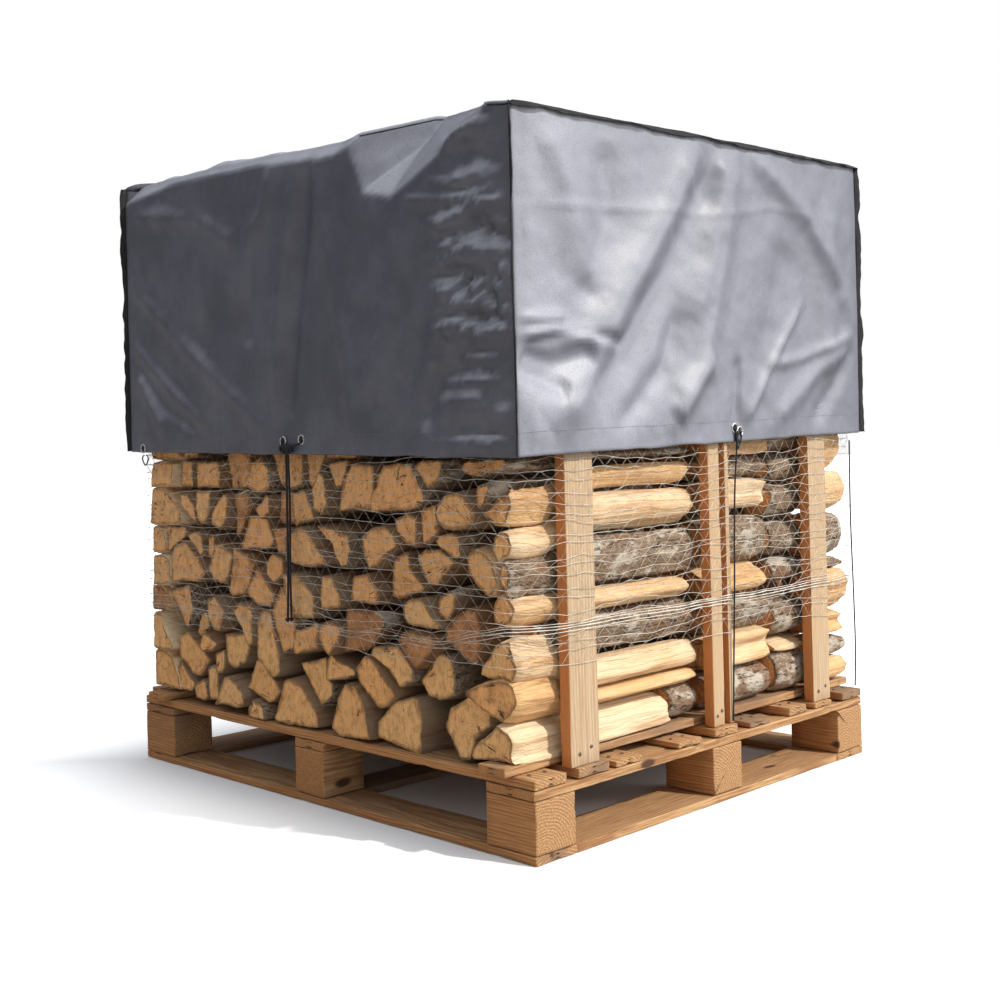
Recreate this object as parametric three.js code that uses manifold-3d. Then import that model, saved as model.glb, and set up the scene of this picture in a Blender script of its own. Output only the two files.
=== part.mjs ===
// A pallet of firewood: a nine-block wooden pallet, six upright boards, two tiers of split logs
// lying front to back, a net round the stack and a grey box cover tied down with black cord.
// Millimetres, +Z up. The origin is on the floor under the middle of the pallet.
// The log ends face -Y (front) and +Y (back), and the posts stand along the +X and -X sides.
import * as THREE from "three";
import { mergeVertices } from "three/addons/utils/BufferGeometryUtils.js";
import Module from "manifold-3d";

const wasm = await Module();
wasm.setup();

// Pallet
const PALLET = { width: 1200, depth: 1000 };
const SEAT = 0.3; // clearance left where two pieces touch
const BASE_BOARD = { thick: 15, wide: 100, middle: 92 };
const BLOCK_HEIGHT = 88;
const CORNER_BLOCK = { x: 114, y: 96 };
const MIDDLE_BLOCK = { x: 91, y: 90 };
const MIDDLE_ROW = 19; // how far the middle row of blocks is set back from the centre
const STRINGER_THICK = 17;
const DECK_THICK = 18;
const DECK_THIN = 12;
// Each deck board as its two edges, measured from the front edge of the pallet, and its thickness.
const DECK_BOARDS = [
  [0, 78, DECK_THICK],
  [105, 184, DECK_THICK],
  [200, 271, DECK_THIN],
  [372, 443, DECK_THIN],
  [481, 554, DECK_THICK],
  [594, 660, DECK_THIN],
  [728, 790, DECK_THICK],
  [820, 884, DECK_THIN],
  [925, 1000, DECK_THICK],
];
const BLOCK_FLOOR = BASE_BOARD.thick;
const STRINGER_FLOOR = BLOCK_FLOOR + BLOCK_HEIGHT;
const DECK_FLOOR = STRINGER_FLOOR + STRINGER_THICK;
const DECK_TOP = DECK_FLOOR + DECK_THICK;

// Rails and posts
const RAIL = { inner: 490, outer: 554, thick: 16, reach: 520 };
const POST = { inner: 569, outer: 593, top: 1200 };
// Each post as the deck board that carries it, the middle of the post and its width.
const POSTS = [
  { board: 1, y: -368, wide: 72 },
  { board: 4, y: 8, wide: 36 },
  { board: 7, y: 360, wide: 64 },
];
const LATH = { inner: 577, outer: 593, near: 41, far: 54, board: 4, top: 1195 };
const CLEAT = { x: 34, y: 62, z: 16, inset: 16 };

// Stack of logs
const STACK = { half: 562, floor: DECK_TOP + SEAT, top: 1205 };
const FRONT_TIER = { front: -497, back: -12 };
const BACK_TIER = { front: 34, back: 497 };
const SHORT_CUTS = [ // the logs at the right of the back tier, cut short
  [34, 246],
  [252, 372],
  [398, 497],
];
// The short logs stand in one column: where its middle and its inner edge lie, and each log's height.
const SHORT_COLUMN = {
  x: 514,
  inner: 450,
  z: [192, 266, 322, 400, 476, 556, 628, 730, 850, 960, 1065, 1160],
};
const END_SCATTER = 9; // how far a log's end stands in or out
const SIDE_SCATTER = 16; // how far the outer face of a side log lies back
const SHORTEST_BY = 78; // how much shorter a log at the right of the front tier may be
const SIDE_COLUMN = 470; // logs centred further out than this show their side
const OUTER_BAND = 410; // logs centred further out than this lie against the posts
const TOP_BAND = 1100; // logs centred higher than this lie against the cover
const COURSE_TOPS = [250, 378, 512, 662, 935, STACK.top];
const FUSE = 0.6; // how far neighbours in one course run into each other
const COURSE_GAP = 0.5; // how far a log stays back from the next course
const NEIGHBOUR_REACH = 330;
const HIDDEN_LOG = 150; // spacing of the logs under the cover
const HIDDEN_FLOOR = 722; // the middle of their lowest row
const HIDDEN_SHIFT = [0.35, 0.65]; // where each second row starts, in spacings
const ROW_RISE = 0.88; // from one row to the next, in spacings
const LOOSE = 14; // how far a log under the cover lies out of its row
const BACK_LOOSE = 10; // how far the back tier differs from the front one, turned about
const SHORT_LOOSE = 8; // how far a short log lies out of its column

// Where the middle of each log end lies on the front, from left to right in each course.
const FRONT_LOGS = [
  [-528, 200], [-448, 190], [-386, 172], [-343, 192], [-262, 180], [-165, 215], [-172, 153],
  [-45, 185], [28, 226], [126, 190], [200, 165], [268, 188], [345, 180], [432, 205], [512, 182],
  [-524, 284], [-412, 246], [-330, 277], [-307, 235], [-247, 268], [-138, 296], [-76, 330],
  [0, 312], [95, 266], [205, 252], [258, 292], [362, 278], [520, 258], [440, 290],
  [-538, 350], [-438, 345], [-390, 306], [-302, 340], [-208, 340], [80, 330], [160, 345],
  [325, 328], [435, 352], [522, 320],
  [-524, 418], [-420, 432], [-338, 432], [-286, 440], [-222, 425], [-163, 392], [-115, 440],
  [-12, 400], [82, 403], [176, 418], [285, 446], [322, 385], [390, 405], [530, 405], [225, 365],
  [-530, 482], [-478, 492], [-390, 492], [-165, 504], [-84, 498], [10, 488], [114, 498],
  [228, 492], [358, 468], [412, 508], [480, 462], [550, 455], [540, 512], [-330, 495],
  [-487, 553], [-406, 556], [-346, 558], [-278, 550], [-222, 560], [-130, 564], [-78, 560],
  [-18, 562], [50, 590], [155, 600], [276, 600], [302, 535], [350, 545], [428, 570],
  [505, 590], [550, 572],
  [-500, 630], [-425, 630], [-322, 625], [-236, 625], [-152, 624], [-88, 636], [-36, 632],
  [15, 640], [100, 646], [368, 632], [440, 640], [515, 642],
];

// Net round the stack
const NET = { x: 595.8, y: 511, thick: 2.4, floor: 322, top: 702, strand: 4 };
const NET_RINGS = 5;
const NET_UPRIGHTS_X = [-370, 0, 370];
const NET_UPRIGHTS_Y = [-368, 8, 360];

// Cover: half width and half depth outside, with the heights of its corners
const COVER = { x: 598.5, y: 518, thick: 2.2, hem: 38, sideSteps: 5, shoulder: 14, crown: 5 };
const COVER_TOP = { frontLeft: 1262, frontRight: 1226, backRight: 1250, backLeft: 1258 };
const COVER_HEM = { frontLeft: 677, frontRight: 656, backRight: 681, backLeft: 684 };

// Cords
const CORD_SIDES = 8;
const KNOT = { x: -14, y: -523, z: 678, half: [10, 4.2, 12] };
const TAIL = { y: -523, length: 318, radius: 2.2, spread: 6 };
const TIE_RADIUS = 1.6;
const TOGGLE = { x: 603.4, y: 71, z: 673, half: [4.2, 6, 17] };
const RIGHT_TIE = [[601.6, 70, 655], [600.4, 61, 560], [599.2, 54, 370], [597, 50, 250], [595, 47, 142]];
const REAR_TIE = [[574, 520.6, 664], [576, 515, 500], [580, 513.4, 330], [586, 505, 220], [589, 495, 142]];
const LOOP = { x: -540, y: -521, z: 659, ring: 11, tube: 1.4 };

const finishes = {
  pallet: { color: 0xd6b484, roughness: 0.85 },
  post: { color: 0xdcc39a, roughness: 0.8 },
  log: { color: 0xc89c62, roughness: 0.9 },
  cover: { color: 0x7b8088, roughness: 0.5 },
  net: { color: 0xe9e4d6, roughness: 0.6 },
  cord: { color: 0x17171a, roughness: 0.6 },
};

const firewood = new THREE.Group();

// Adds one named piece with its own finish.
function piece(name, geometry, finish) {
  const mesh = new THREE.Mesh(geometry, new THREE.MeshStandardMaterial(finishes[finish]));
  mesh.name = name;
  firewood.add(mesh);
}

// A squared piece of timber between two corners, with a seat's clearance under it off the floor.
function timber(name, [x0, y0, z0], [x1, y1, z1], finish = "pallet") {
  const floor = z0 > 0 ? z0 + SEAT : z0;
  const box = new THREE.BoxGeometry(x1 - x0, y1 - y0, z1 - floor);
  box.translate((x0 + x1) / 2, (y0 + y1) / 2, (floor + z1) / 2);
  piece(name, box, finish);
}

// Repeatable scatter from -1 to 1.
function scatterFrom(seed) {
  let state = seed;
  return () => {
    state = (state * 1664525 + 1013904223) % 4294967296;
    return state / 2147483648 - 1;
  };
}

function solidOf(geometry) {
  const bare = new THREE.BufferGeometry();
  const flat = geometry.index ? geometry.toNonIndexed() : geometry;
  bare.setAttribute("position", flat.getAttribute("position").clone());
  const merged = mergeVertices(bare, 1e-3);
  return new wasm.Manifold(
    new wasm.Mesh({
      numProp: 3,
      vertProperties: merged.getAttribute("position").array,
      triVerts: new Uint32Array(merged.index.array),
    }),
  );
}

function geometryOf(solid) {
  const mesh = solid.getMesh();
  const geometry = new THREE.BufferGeometry();
  geometry.setAttribute("position", new THREE.BufferAttribute(mesh.vertProperties, mesh.numProp));
  geometry.setIndex(new THREE.BufferAttribute(mesh.triVerts, 1));
  geometry.computeVertexNormals();
  return geometry;
}

const joined = (geometries) => geometries.map(solidOf).reduce((whole, next) => whole.add(next));

// The pallet: base boards, blocks, stringers and deck.
const halfWidth = PALLET.width / 2;
const halfDepth = PALLET.depth / 2;
const sideOf = (width, side) =>
  side === 0 ? [-width / 2, width / 2] : side < 0
    ? [-halfWidth, -halfWidth + width]
    : [halfWidth - width, halfWidth];
const rowOf = (depth, row) =>
  row === 0 ? [MIDDLE_ROW - depth / 2, MIDDLE_ROW + depth / 2] : row < 0
    ? [-halfDepth, -halfDepth + depth]
    : [halfDepth - depth, halfDepth];
const sides = { left: -1, middle: 0, right: 1 };
const rows = { front: -1, centre: 0, back: 1 };

for (const [row, at] of Object.entries({ front: -1, back: 1 })) {
  const [y0, y1] = rowOf(BASE_BOARD.wide, at);
  timber(`base_board_${row}`, [-halfWidth, y0, 0], [halfWidth, y1, BASE_BOARD.thick]);
}
const baseReach = halfDepth - BASE_BOARD.wide - SEAT;
for (const [side, at] of Object.entries(sides)) {
  const [x0, x1] = sideOf(at === 0 ? BASE_BOARD.middle : CORNER_BLOCK.x, at);
  timber(`base_board_${side}`, [x0, -baseReach, 0], [x1, baseReach, BASE_BOARD.thick]);
  const width = at === 0 ? MIDDLE_BLOCK.x : CORNER_BLOCK.x;
  const [b0, b1] = sideOf(width, at);
  for (const [row, place] of Object.entries(rows)) {
    const [y0, y1] = rowOf(place === 0 ? MIDDLE_BLOCK.y : CORNER_BLOCK.y, place);
    timber(`block_${row}_${side}`, [b0, y0, BLOCK_FLOOR], [b1, y1, STRINGER_FLOOR]);
  }
  timber(`stringer_${side}`, [b0, -halfDepth, STRINGER_FLOOR], [b1, halfDepth, DECK_FLOOR]);
}
DECK_BOARDS.forEach(([near, far, thick], i) => {
  const low = [-halfWidth, near - halfDepth, DECK_FLOOR];
  const high = [halfWidth, far - halfDepth, DECK_FLOOR + thick];
  timber(`deck_board_${i + 1}`, low, high);
});

// The rails that lie on the deck, and the posts that stand beside them on the deck-board ends.
for (const [side, at] of [["left", -1], ["right", 1]]) {
  const [r0, r1] = [at * RAIL.inner, at * RAIL.outer].sort((a, b) => a - b);
  timber(`rail_${side}`, [r0, -RAIL.reach, DECK_TOP], [r1, RAIL.reach, DECK_TOP + RAIL.thick]);
  const [p0, p1] = [at * POST.inner, at * POST.outer].sort((a, b) => a - b);
  POSTS.forEach(({ board, y, wide }, i) => {
    const foot = DECK_FLOOR + DECK_BOARDS[board][2];
    timber(`post_${side}_${i + 1}`, [p0, y - wide / 2, foot], [p1, y + wide / 2, POST.top], "post");
  });
}
const lathFoot = DECK_FLOOR + DECK_BOARDS[LATH.board][2];
timber("lath", [LATH.inner, LATH.near, lathFoot], [LATH.outer, LATH.far, LATH.top], "post");
const cleatY = -halfDepth + CLEAT.inset;
timber(
  "cleat",
  [-halfWidth, cleatY, DECK_TOP],
  [-halfWidth + CLEAT.x, cleatY + CLEAT.y - CLEAT.inset, DECK_TOP + CLEAT.z],
);

// The part of a convex outline on the near side of a line.
function trimmed(outline, normal, reach) {
  const kept = [];
  outline.forEach((point, i) => {
    const next = outline[(i + 1) % outline.length];
    const here = normal.dot(point) - reach;
    const there = normal.dot(next) - reach;
    if (here <= 0) kept.push(point);
    if (here * there < 0) kept.push(point.clone().lerp(next, here / (here - there)));
  });
  return kept;
}

// One split log's end: the space nearer to its middle than to any other log's.
function logOutline(log, logs) {
  const { half, floor, top } = STACK;
  let outline = [
    new THREE.Vector2(-half + log.sideBack, floor),
    new THREE.Vector2(half - log.sideBack, floor),
    new THREE.Vector2(half - log.sideBack, top - log.sideBack),
    new THREE.Vector2(-half + log.sideBack, top - log.sideBack),
  ];
  for (const other of logs) {
    const away = other.middle.clone().sub(log.middle);
    if (other === log || away.length() > NEIGHBOUR_REACH) continue;
    away.normalize();
    const halfway = away.dot(log.middle.clone().add(other.middle)) / 2;
    outline = trimmed(outline, away, halfway + (other.node === log.node ? FUSE : -COURSE_GAP));
  }
  return outline;
}

function logPrism(outline, near, far) {
  const prism = new THREE.ExtrudeGeometry(new THREE.Shape(outline), {
    depth: far - near,
    bevelEnabled: false,
  });
  return prism.rotateX(Math.PI / 2).translate(0, far, 0);
}

const courseOf = (z) => COURSE_TOPS.findIndex((top) => z <= top) + 1;

// The middles of the logs in one tier: the courses that show, then evenly filled ones under the cover.
function tierMiddles(scatter, turned) {
  const spread = turned ? BACK_LOOSE : 0;
  const middles = FRONT_LOGS.map(([x, z]) => [
    (turned ? -x : x) + spread * scatter(),
    z + spread * scatter(),
  ]);
  const perRow = Math.round((2 * STACK.half) / HIDDEN_LOG);
  const pitch = (2 * STACK.half) / perRow;
  for (let z = HIDDEN_FLOOR, row = 0; z < STACK.top; z += HIDDEN_LOG * ROW_RISE, row += 1) {
    for (let i = 0; i < perRow; i += 1) {
      const x = -STACK.half + (i + HIDDEN_SHIFT[row % 2]) * pitch;
      middles.push([x + LOOSE * scatter(), z + LOOSE * scatter()]);
    }
  }
  if (!turned) return middles;
  const long = middles.filter(([x]) => x < SHORT_COLUMN.inner);
  return [...long, ...SHORT_COLUMN.z.map((z) => [SHORT_COLUMN.x + SHORT_LOOSE * scatter(), z])];
}

// One tier as named bodies: the logs of a course are joined where they press together.
function stackTier(tier, name, seed, turned) {
  const scatter = scatterFrom(seed);
  const logs = tierMiddles(scatter, turned).map(([x, z]) => {
    const short = turned && x > SIDE_COLUMN;
    return {
      middle: new THREE.Vector2(x, z),
      node: short ? "short" : `${name}_logs_course_${courseOf(z)}`,
      sideBack: Math.abs(x) > OUTER_BAND || z > TOP_BAND ? (SIDE_SCATTER * (1 + scatter())) / 2 : 0,
      near: END_SCATTER * scatter(),
      far: END_SCATTER * scatter(),
      shortBy: x > SIDE_COLUMN ? (SHORTEST_BY * (1 + scatter())) / 2 : 0,
    };
  });
  const bodies = new Map();
  const add = (node, prism) => bodies.set(node, [...(bodies.get(node) ?? []), prism]);
  for (const log of logs) {
    const outline = logOutline(log, logs);
    if (log.node === "short") {
      SHORT_CUTS.forEach(([near, far], i) => {
        const inset = Math.abs(log.near) / 3;
        add(`back_right_logs_${i + 1}`, logPrism(outline, near + inset, far - inset));
      });
    } else {
      const far = tier.back + log.far - (turned ? 0 : log.shortBy);
      add(log.node, logPrism(outline, tier.front + log.near, far));
    }
  }
  return bodies;
}

// The space over each rail, which the lowest logs are cut to.
const railRoom = [-1, 1].map((side) => {
  const wide = RAIL.outer - RAIL.inner + 2 * SEAT;
  const box = new THREE.BoxGeometry(wide, 2 * RAIL.reach, RAIL.thick + 4 * SEAT);
  return box.translate((side * (RAIL.inner + RAIL.outer)) / 2, 0, DECK_TOP + RAIL.thick / 2);
});

const tiers = [
  stackTier(FRONT_TIER, "front", 11, false),
  stackTier(BACK_TIER, "back", 29, true),
];
for (const bodies of tiers) {
  for (const [name, prisms] of bodies) {
    let body = joined(prisms);
    for (const room of railRoom) body = body.subtract(solidOf(room));
    piece(name, geometryOf(body), "log");
  }
}

// The net: level strands all round, joined by upright strands.
function block(x, y, z, low) {
  return new THREE.BoxGeometry(x, y, z).translate(0, 0, low + z / 2);
}
const { strand } = NET;
const netPitch = (NET.top - NET.floor - strand) / (NET_RINGS - 1);
const netParts = [];
for (let ring = 0; ring < NET_RINGS; ring += 1) {
  const low = NET.floor + ring * netPitch;
  const outer = solidOf(block(2 * NET.x, 2 * NET.y, strand, low));
  const inner = block(2 * (NET.x - NET.thick), 2 * (NET.y - NET.thick), 2 * strand, low - strand / 2);
  netParts.push(outer.subtract(solidOf(inner)));
}
const upright = { thick: NET.thick / 2, low: NET.floor + 1, tall: NET.top - NET.floor - 2 };
for (const side of [-1, 1]) {
  for (const y of NET_UPRIGHTS_Y) {
    const post = block(upright.thick, strand, upright.tall, upright.low);
    netParts.push(solidOf(post.translate(side * (NET.x - NET.thick / 2), y, 0)));
  }
  for (const x of NET_UPRIGHTS_X) {
    const post = block(strand, upright.thick, upright.tall, upright.low);
    netParts.push(solidOf(post.translate(x, side * (NET.y - NET.thick / 2), 0)));
  }
}
piece("net", geometryOf(netParts.reduce((whole, next) => whole.add(next))), "net");

// The cover: a shell with four walls and a top, open below.
const mix = (a, b, t) => a + (b - a) * t;
function cornerHeight(heights, x, y) {
  const across = (x / COVER.x + 1) / 2;
  const back = (y / COVER.y + 1) / 2;
  return mix(
    mix(heights.frontLeft, heights.frontRight, across),
    mix(heights.backLeft, heights.backRight, across),
    back,
  );
}

// One level ring round the cover, inset from its outer face.
function coverRing(inset, heightAt) {
  const [x, y] = [COVER.x - inset, COVER.y - inset];
  const corners = [[-x, -y], [x, -y], [x, y], [-x, y]];
  const ring = [];
  corners.forEach(([cx, cy], i) => {
    const [nx, ny] = corners[(i + 1) % corners.length];
    for (let step = 0; step < COVER.sideSteps; step += 1) {
      const t = step / COVER.sideSteps;
      const [px, py] = [mix(cx, nx, t), mix(cy, ny, t)];
      ring.push(new THREE.Vector3(px, py, heightAt(px, py)));
    }
  });
  return ring;
}

// A closed skin over a run of rings, with a fan to one point at each end.
function skinned(first, rings, last) {
  const count = rings[0].length;
  const points = [first, ...rings.flat(), last];
  const faces = [];
  const at = (ring, i) => 1 + ring * count + (i % count);
  for (let i = 0; i < count; i += 1) {
    faces.push(0, at(0, i), at(0, i + 1));
    for (let ring = 0; ring < rings.length - 1; ring += 1) {
      faces.push(at(ring, i), at(ring + 1, i), at(ring + 1, i + 1));
      faces.push(at(ring, i), at(ring + 1, i + 1), at(ring, i + 1));
    }
    faces.push(points.length - 1, at(rings.length - 1, i + 1), at(rings.length - 1, i));
  }
  const geometry = new THREE.BufferGeometry().setFromPoints(points);
  geometry.setIndex(faces);
  geometry.computeVertexNormals();
  return geometry;
}

function coverLayer(depth) {
  const topAt = (x, y) => cornerHeight(COVER_TOP, x, y) - depth;
  const hemAt = (x, y) => cornerHeight(COVER_HEM, x, y);
  return {
    middle: new THREE.Vector3(0, 0, topAt(0, 0) + COVER.crown),
    rings: [
      coverRing(COVER.shoulder * 3 + depth, (x, y) => topAt(x, y) + COVER.crown * 0.6),
      coverRing(depth, (x, y) => topAt(x, y) - COVER.crown),
      coverRing(depth, (x, y) => mix(hemAt(x, y), topAt(x, y), 0.5)),
      coverRing(depth, (x, y) => hemAt(x, y) + COVER.hem),
      coverRing(depth, hemAt),
    ],
  };
}
const outside = coverLayer(0);
const inside = coverLayer(COVER.thick);
const coverRings = [...outside.rings, ...inside.rings.reverse()];
piece("cover", skinned(outside.middle, coverRings, inside.middle), "cover");

// A cord along a list of points.
function cord(name, points, radius, steps) {
  const section = new THREE.Shape();
  for (let i = 0; i < CORD_SIDES; i += 1) {
    const turn = (2 * Math.PI * i) / CORD_SIDES;
    const [x, y] = [radius * Math.cos(turn), radius * Math.sin(turn)];
    if (i === 0) section.moveTo(x, y);
    else section.lineTo(x, y);
  }
  section.closePath();
  const path = new THREE.CatmullRomCurve3(points.map((p) => new THREE.Vector3(...p)));
  piece(name, new THREE.ExtrudeGeometry(section, { steps, extrudePath: path }), "cord");
}

// A small rounded lump, such as a knot or a toggle.
function lump(name, { x, y, z, half }) {
  piece(name, new THREE.SphereGeometry(1, 10, 6).scale(...half).translate(x, y, z), "cord");
}

// The knot at the front eyelets, with two tails that hang over the log ends.
lump("front_knot", KNOT);
for (const [side, at] of [["left", -1], ["right", 1]]) {
  const x = KNOT.x + (at * TAIL.spread) / 2;
  const top = KNOT.z - KNOT.half[2] - SEAT;
  const foot = top - TAIL.length + at;
  const route = [
    [x, TAIL.y, top],
    [x + at * 1.5, TAIL.y, mix(top, foot, 0.3)],
    [x + at * 0.5 - 3, TAIL.y, mix(top, foot, 0.7)],
    [x + at * 3 - 5, TAIL.y, foot],
  ];
  cord(`front_tail_${side}`, route, TAIL.radius, 14);
}

// The toggle and the cord that tie the right side down, the cord at the back, and the loop at the front.
lump("right_toggle", TOGGLE);
cord("right_tie", RIGHT_TIE, TIE_RADIUS, 16);
cord("rear_tie", REAR_TIE, TIE_RADIUS, 16);
const loop = new THREE.TorusGeometry(LOOP.ring, LOOP.tube, 6, 14);
piece("front_loop", loop.rotateX(Math.PI / 2).translate(LOOP.x, LOOP.y, LOOP.z), "cord");

export default firewood;
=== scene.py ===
# %% [markdown]
# # A pallet of firewood
# Split logs lie in two tiers on a wooden pallet, between six upright boards. A knitted net goes round
# the stack, and a box-shaped cover is tied down over its upper half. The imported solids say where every
# piece is and how big it is. This lesson gives each one the surface of the real thing.

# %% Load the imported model
import math

import bpy
import numpy as np
from mathutils import Matrix, Vector, noise


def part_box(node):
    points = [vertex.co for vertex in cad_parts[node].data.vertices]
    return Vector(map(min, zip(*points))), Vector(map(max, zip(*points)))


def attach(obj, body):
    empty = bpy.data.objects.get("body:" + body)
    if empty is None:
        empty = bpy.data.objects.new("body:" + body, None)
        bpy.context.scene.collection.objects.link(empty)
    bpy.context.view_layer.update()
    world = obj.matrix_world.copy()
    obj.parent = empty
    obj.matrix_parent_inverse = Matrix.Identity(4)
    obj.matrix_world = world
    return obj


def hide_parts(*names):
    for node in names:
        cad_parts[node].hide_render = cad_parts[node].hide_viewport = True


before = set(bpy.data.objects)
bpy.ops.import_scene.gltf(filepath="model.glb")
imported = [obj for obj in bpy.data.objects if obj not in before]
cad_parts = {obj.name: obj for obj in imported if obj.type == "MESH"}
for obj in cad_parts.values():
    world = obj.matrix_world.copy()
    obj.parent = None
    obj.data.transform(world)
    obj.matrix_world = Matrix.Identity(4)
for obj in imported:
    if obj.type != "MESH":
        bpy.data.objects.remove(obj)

scene = bpy.context.scene
MM = 0.001
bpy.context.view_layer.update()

# %% [markdown]
# ## The camera
# The picture was taken from just above half height, looking at the corner of the stack. The values below
# come from fitting the corners of the pallet to the picture, one by one. The lens looks level, so upright
# edges stay upright, and its shift frames the stack as a shifted plate would.

# %% Set up the camera
CAMERA_PLACE = (2.1060, -2.0388, 0.6872)
HEADING = math.radians(44.496)
ROLL = math.radians(-1.448)
LENS = 48.53  # in millimetres
SHIFT = (-0.023, -0.0624)

camera_data = bpy.data.cameras.new("camera")
camera_data.lens = LENS
camera_data.shift_x, camera_data.shift_y = SHIFT
camera = bpy.data.objects.new("camera", camera_data)
scene.collection.objects.link(camera)
scene.camera = camera
upright = Matrix.Rotation(HEADING, 4, "Z") @ Matrix.Rotation(math.pi / 2, 4, "X")
camera.matrix_world = Matrix.Translation(CAMERA_PLACE) @ upright @ Matrix.Rotation(ROLL, 4, "Z")
print("camera", round(math.dist(CAMERA_PLACE[:2], (0, 0)), 2), "m from the middle of the pallet")

# %% [markdown]
# ## Shader maths
# A material is a tree of nodes. Writing the tree socket by socket hides the idea, so a small class wraps
# one output and lets Python's own operators add the Math nodes. Colours are mixed and never multiplied
# with Math, which would turn them grey.

# %% Sockets that take part in sums
def operator(operation, reflected=False):
    """The method behind one of Python's operators. In a reflected one the wire stands on the right."""

    def method(wire, *others):
        return wire.combined(operation, *((*others, wire) if reflected else (wire, *others)))

    return method


class Wire:
    """One output socket. Arithmetic on it adds the Math node that does the sum."""

    def __init__(self, nodes, socket):
        self.nodes = nodes
        self.socket = socket

    def combined(self, operation, first, second=None):
        if self.socket.type == "RGBA":
            raise TypeError("a Math node turns a colour grey, so mix it with Nodes.mix")
        kind = "ShaderNodeVectorMath" if self.socket.type == "VECTOR" else "ShaderNodeMath"
        inputs = {0: first} if second is None else {0: first, 1: second}
        return self.nodes.node(kind, {"operation": operation}, inputs)

    __add__, __radd__ = operator("ADD"), operator("ADD", reflected=True)
    __sub__, __rsub__ = operator("SUBTRACT"), operator("SUBTRACT", reflected=True)
    __mul__, __rmul__ = operator("MULTIPLY"), operator("MULTIPLY", reflected=True)
    __pow__, __abs__ = operator("POWER"), operator("ABSOLUTE")


# %% [markdown]
# Every other node comes from one method, which sets the node's own settings first and then fills its
# sockets with values or links. The finishes below use a few kinds of node again and again, so these have
# short names of their own.

# %% Trees of nodes
class Nodes:
    """The node tree of a finish or of the world."""

    def __init__(self, tree):
        self.tree = tree

    def feed(self, socket, value):
        if isinstance(value, Wire):
            self.tree.links.new(value.socket, socket)
        elif socket.type == "VECTOR" and isinstance(value, (int, float)):
            socket.default_value = (value, value, value)
        else:
            socket.default_value = value

    def node(self, kind, settings=None, inputs=None, output=0):
        """Adds one node: its settings first, then the values or links of its sockets."""
        made = self.tree.nodes.new(kind)
        for name, value in (settings or {}).items():
            setattr(made, name, value)
        for name, value in (inputs or {}).items():
            self.feed(made.inputs[name], value)
        return Wire(self, made.outputs[output])

    def mix(self, amount, first, second):
        settings = {"data_type": "RGBA", "blend_type": "MIX"}
        return self.node("ShaderNodeMix", settings, {0: amount, 6: first, 7: second}, 2)

    def fade(self, value, low, high):
        """0 where value is low, 1 where it is high, and smooth between."""
        inputs = {"Value": value, "From Min": low, "From Max": high}
        return self.node("ShaderNodeMapRange", {"interpolation_type": "SMOOTHSTEP"}, inputs)

    def noise(self, vector, scale=1.0, detail=3.0, roughness=0.5):
        inputs = {"Vector": vector, "Scale": scale, "Detail": detail, "Roughness": roughness}
        return self.node("ShaderNodeTexNoise", {}, inputs)

    def wave(self, angle):
        return self.node("ShaderNodeMath", {"operation": "SINE"}, {0: angle})

    def place(self):
        """Where on the piece a point of the surface is, in metres."""
        return self.node("ShaderNodeTexCoord", {}, {}, "Object")

    def mark(self, name, output="Fac"):
        """A value that the mesh carries at each of its points."""
        return self.node("ShaderNodeAttribute", {"attribute_name": name}, {}, output)

    def apart(self, vector):
        """A vector's three numbers."""
        made = self.node("ShaderNodeSeparateXYZ", {}, {0: vector})
        return [Wire(self, socket) for socket in made.socket.node.outputs]


# %% [markdown]
# A finish is one material. Blender's main shader does the gloss, the metal and the bumps. What is the same
# all over the surface is set on its socket directly, and only what changes is fed by nodes.

# %% A finish
class Finish(Nodes):
    """A material with one main shader. The named values are the same all over the surface."""

    def __init__(self, name, **constants):
        self.material = bpy.data.materials.new(name)
        self.material.use_nodes = True
        super().__init__(self.material.node_tree)
        self.surface = self.tree.nodes["Principled BSDF"]
        for socket, value in constants.items():
            self.surface.inputs[socket.replace("_", " ")].default_value = value

    def paint(self, **varying):
        """Feeds what changes over the surface, such as Base_Color and Roughness."""
        for socket, value in varying.items():
            self.feed(self.surface.inputs[socket.replace("_", " ")], value)
        return self.material

    def bump(self, height, depth):
        """Feeds Normal from a height of 0 to 1, which is this deep in metres."""
        inputs = {"Height": height, "Distance": depth, "Strength": 1.0}
        self.feed(self.surface.inputs["Normal"], self.node("ShaderNodeBump", {}, inputs))


# %% Colours as seen on a screen
def shade(red, green, blue):
    """A colour given as 0 to 255 on a screen, as the light that Blender works with."""
    screen = np.array([red, green, blue]) / 255
    light = np.where(screen <= 0.04045, screen / 12.92, ((screen + 0.055) / 1.055) ** 2.4)
    return (*light.tolist(), 1.0)


# %% [markdown]
# ## Light
# The sun stands high at the right and a little behind. The side with the posts is bright, and the sawn
# log ends at the front lie in shade, lit only by the sky and the pale floor. A soft panel at the right,
# behind the stack, gives the sunlit side of the cover its broad gloss.

# %% The sun and the panel
SUN_FROM = (0.74, 0.24, 0.63)
PANEL_PLACE = (4.3, 3.0, 2.0)
PANEL_SIDE = 2.0
AIM = {"sun": (0, 0, 0), "panel": (0, 0, 0.6)}

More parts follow.
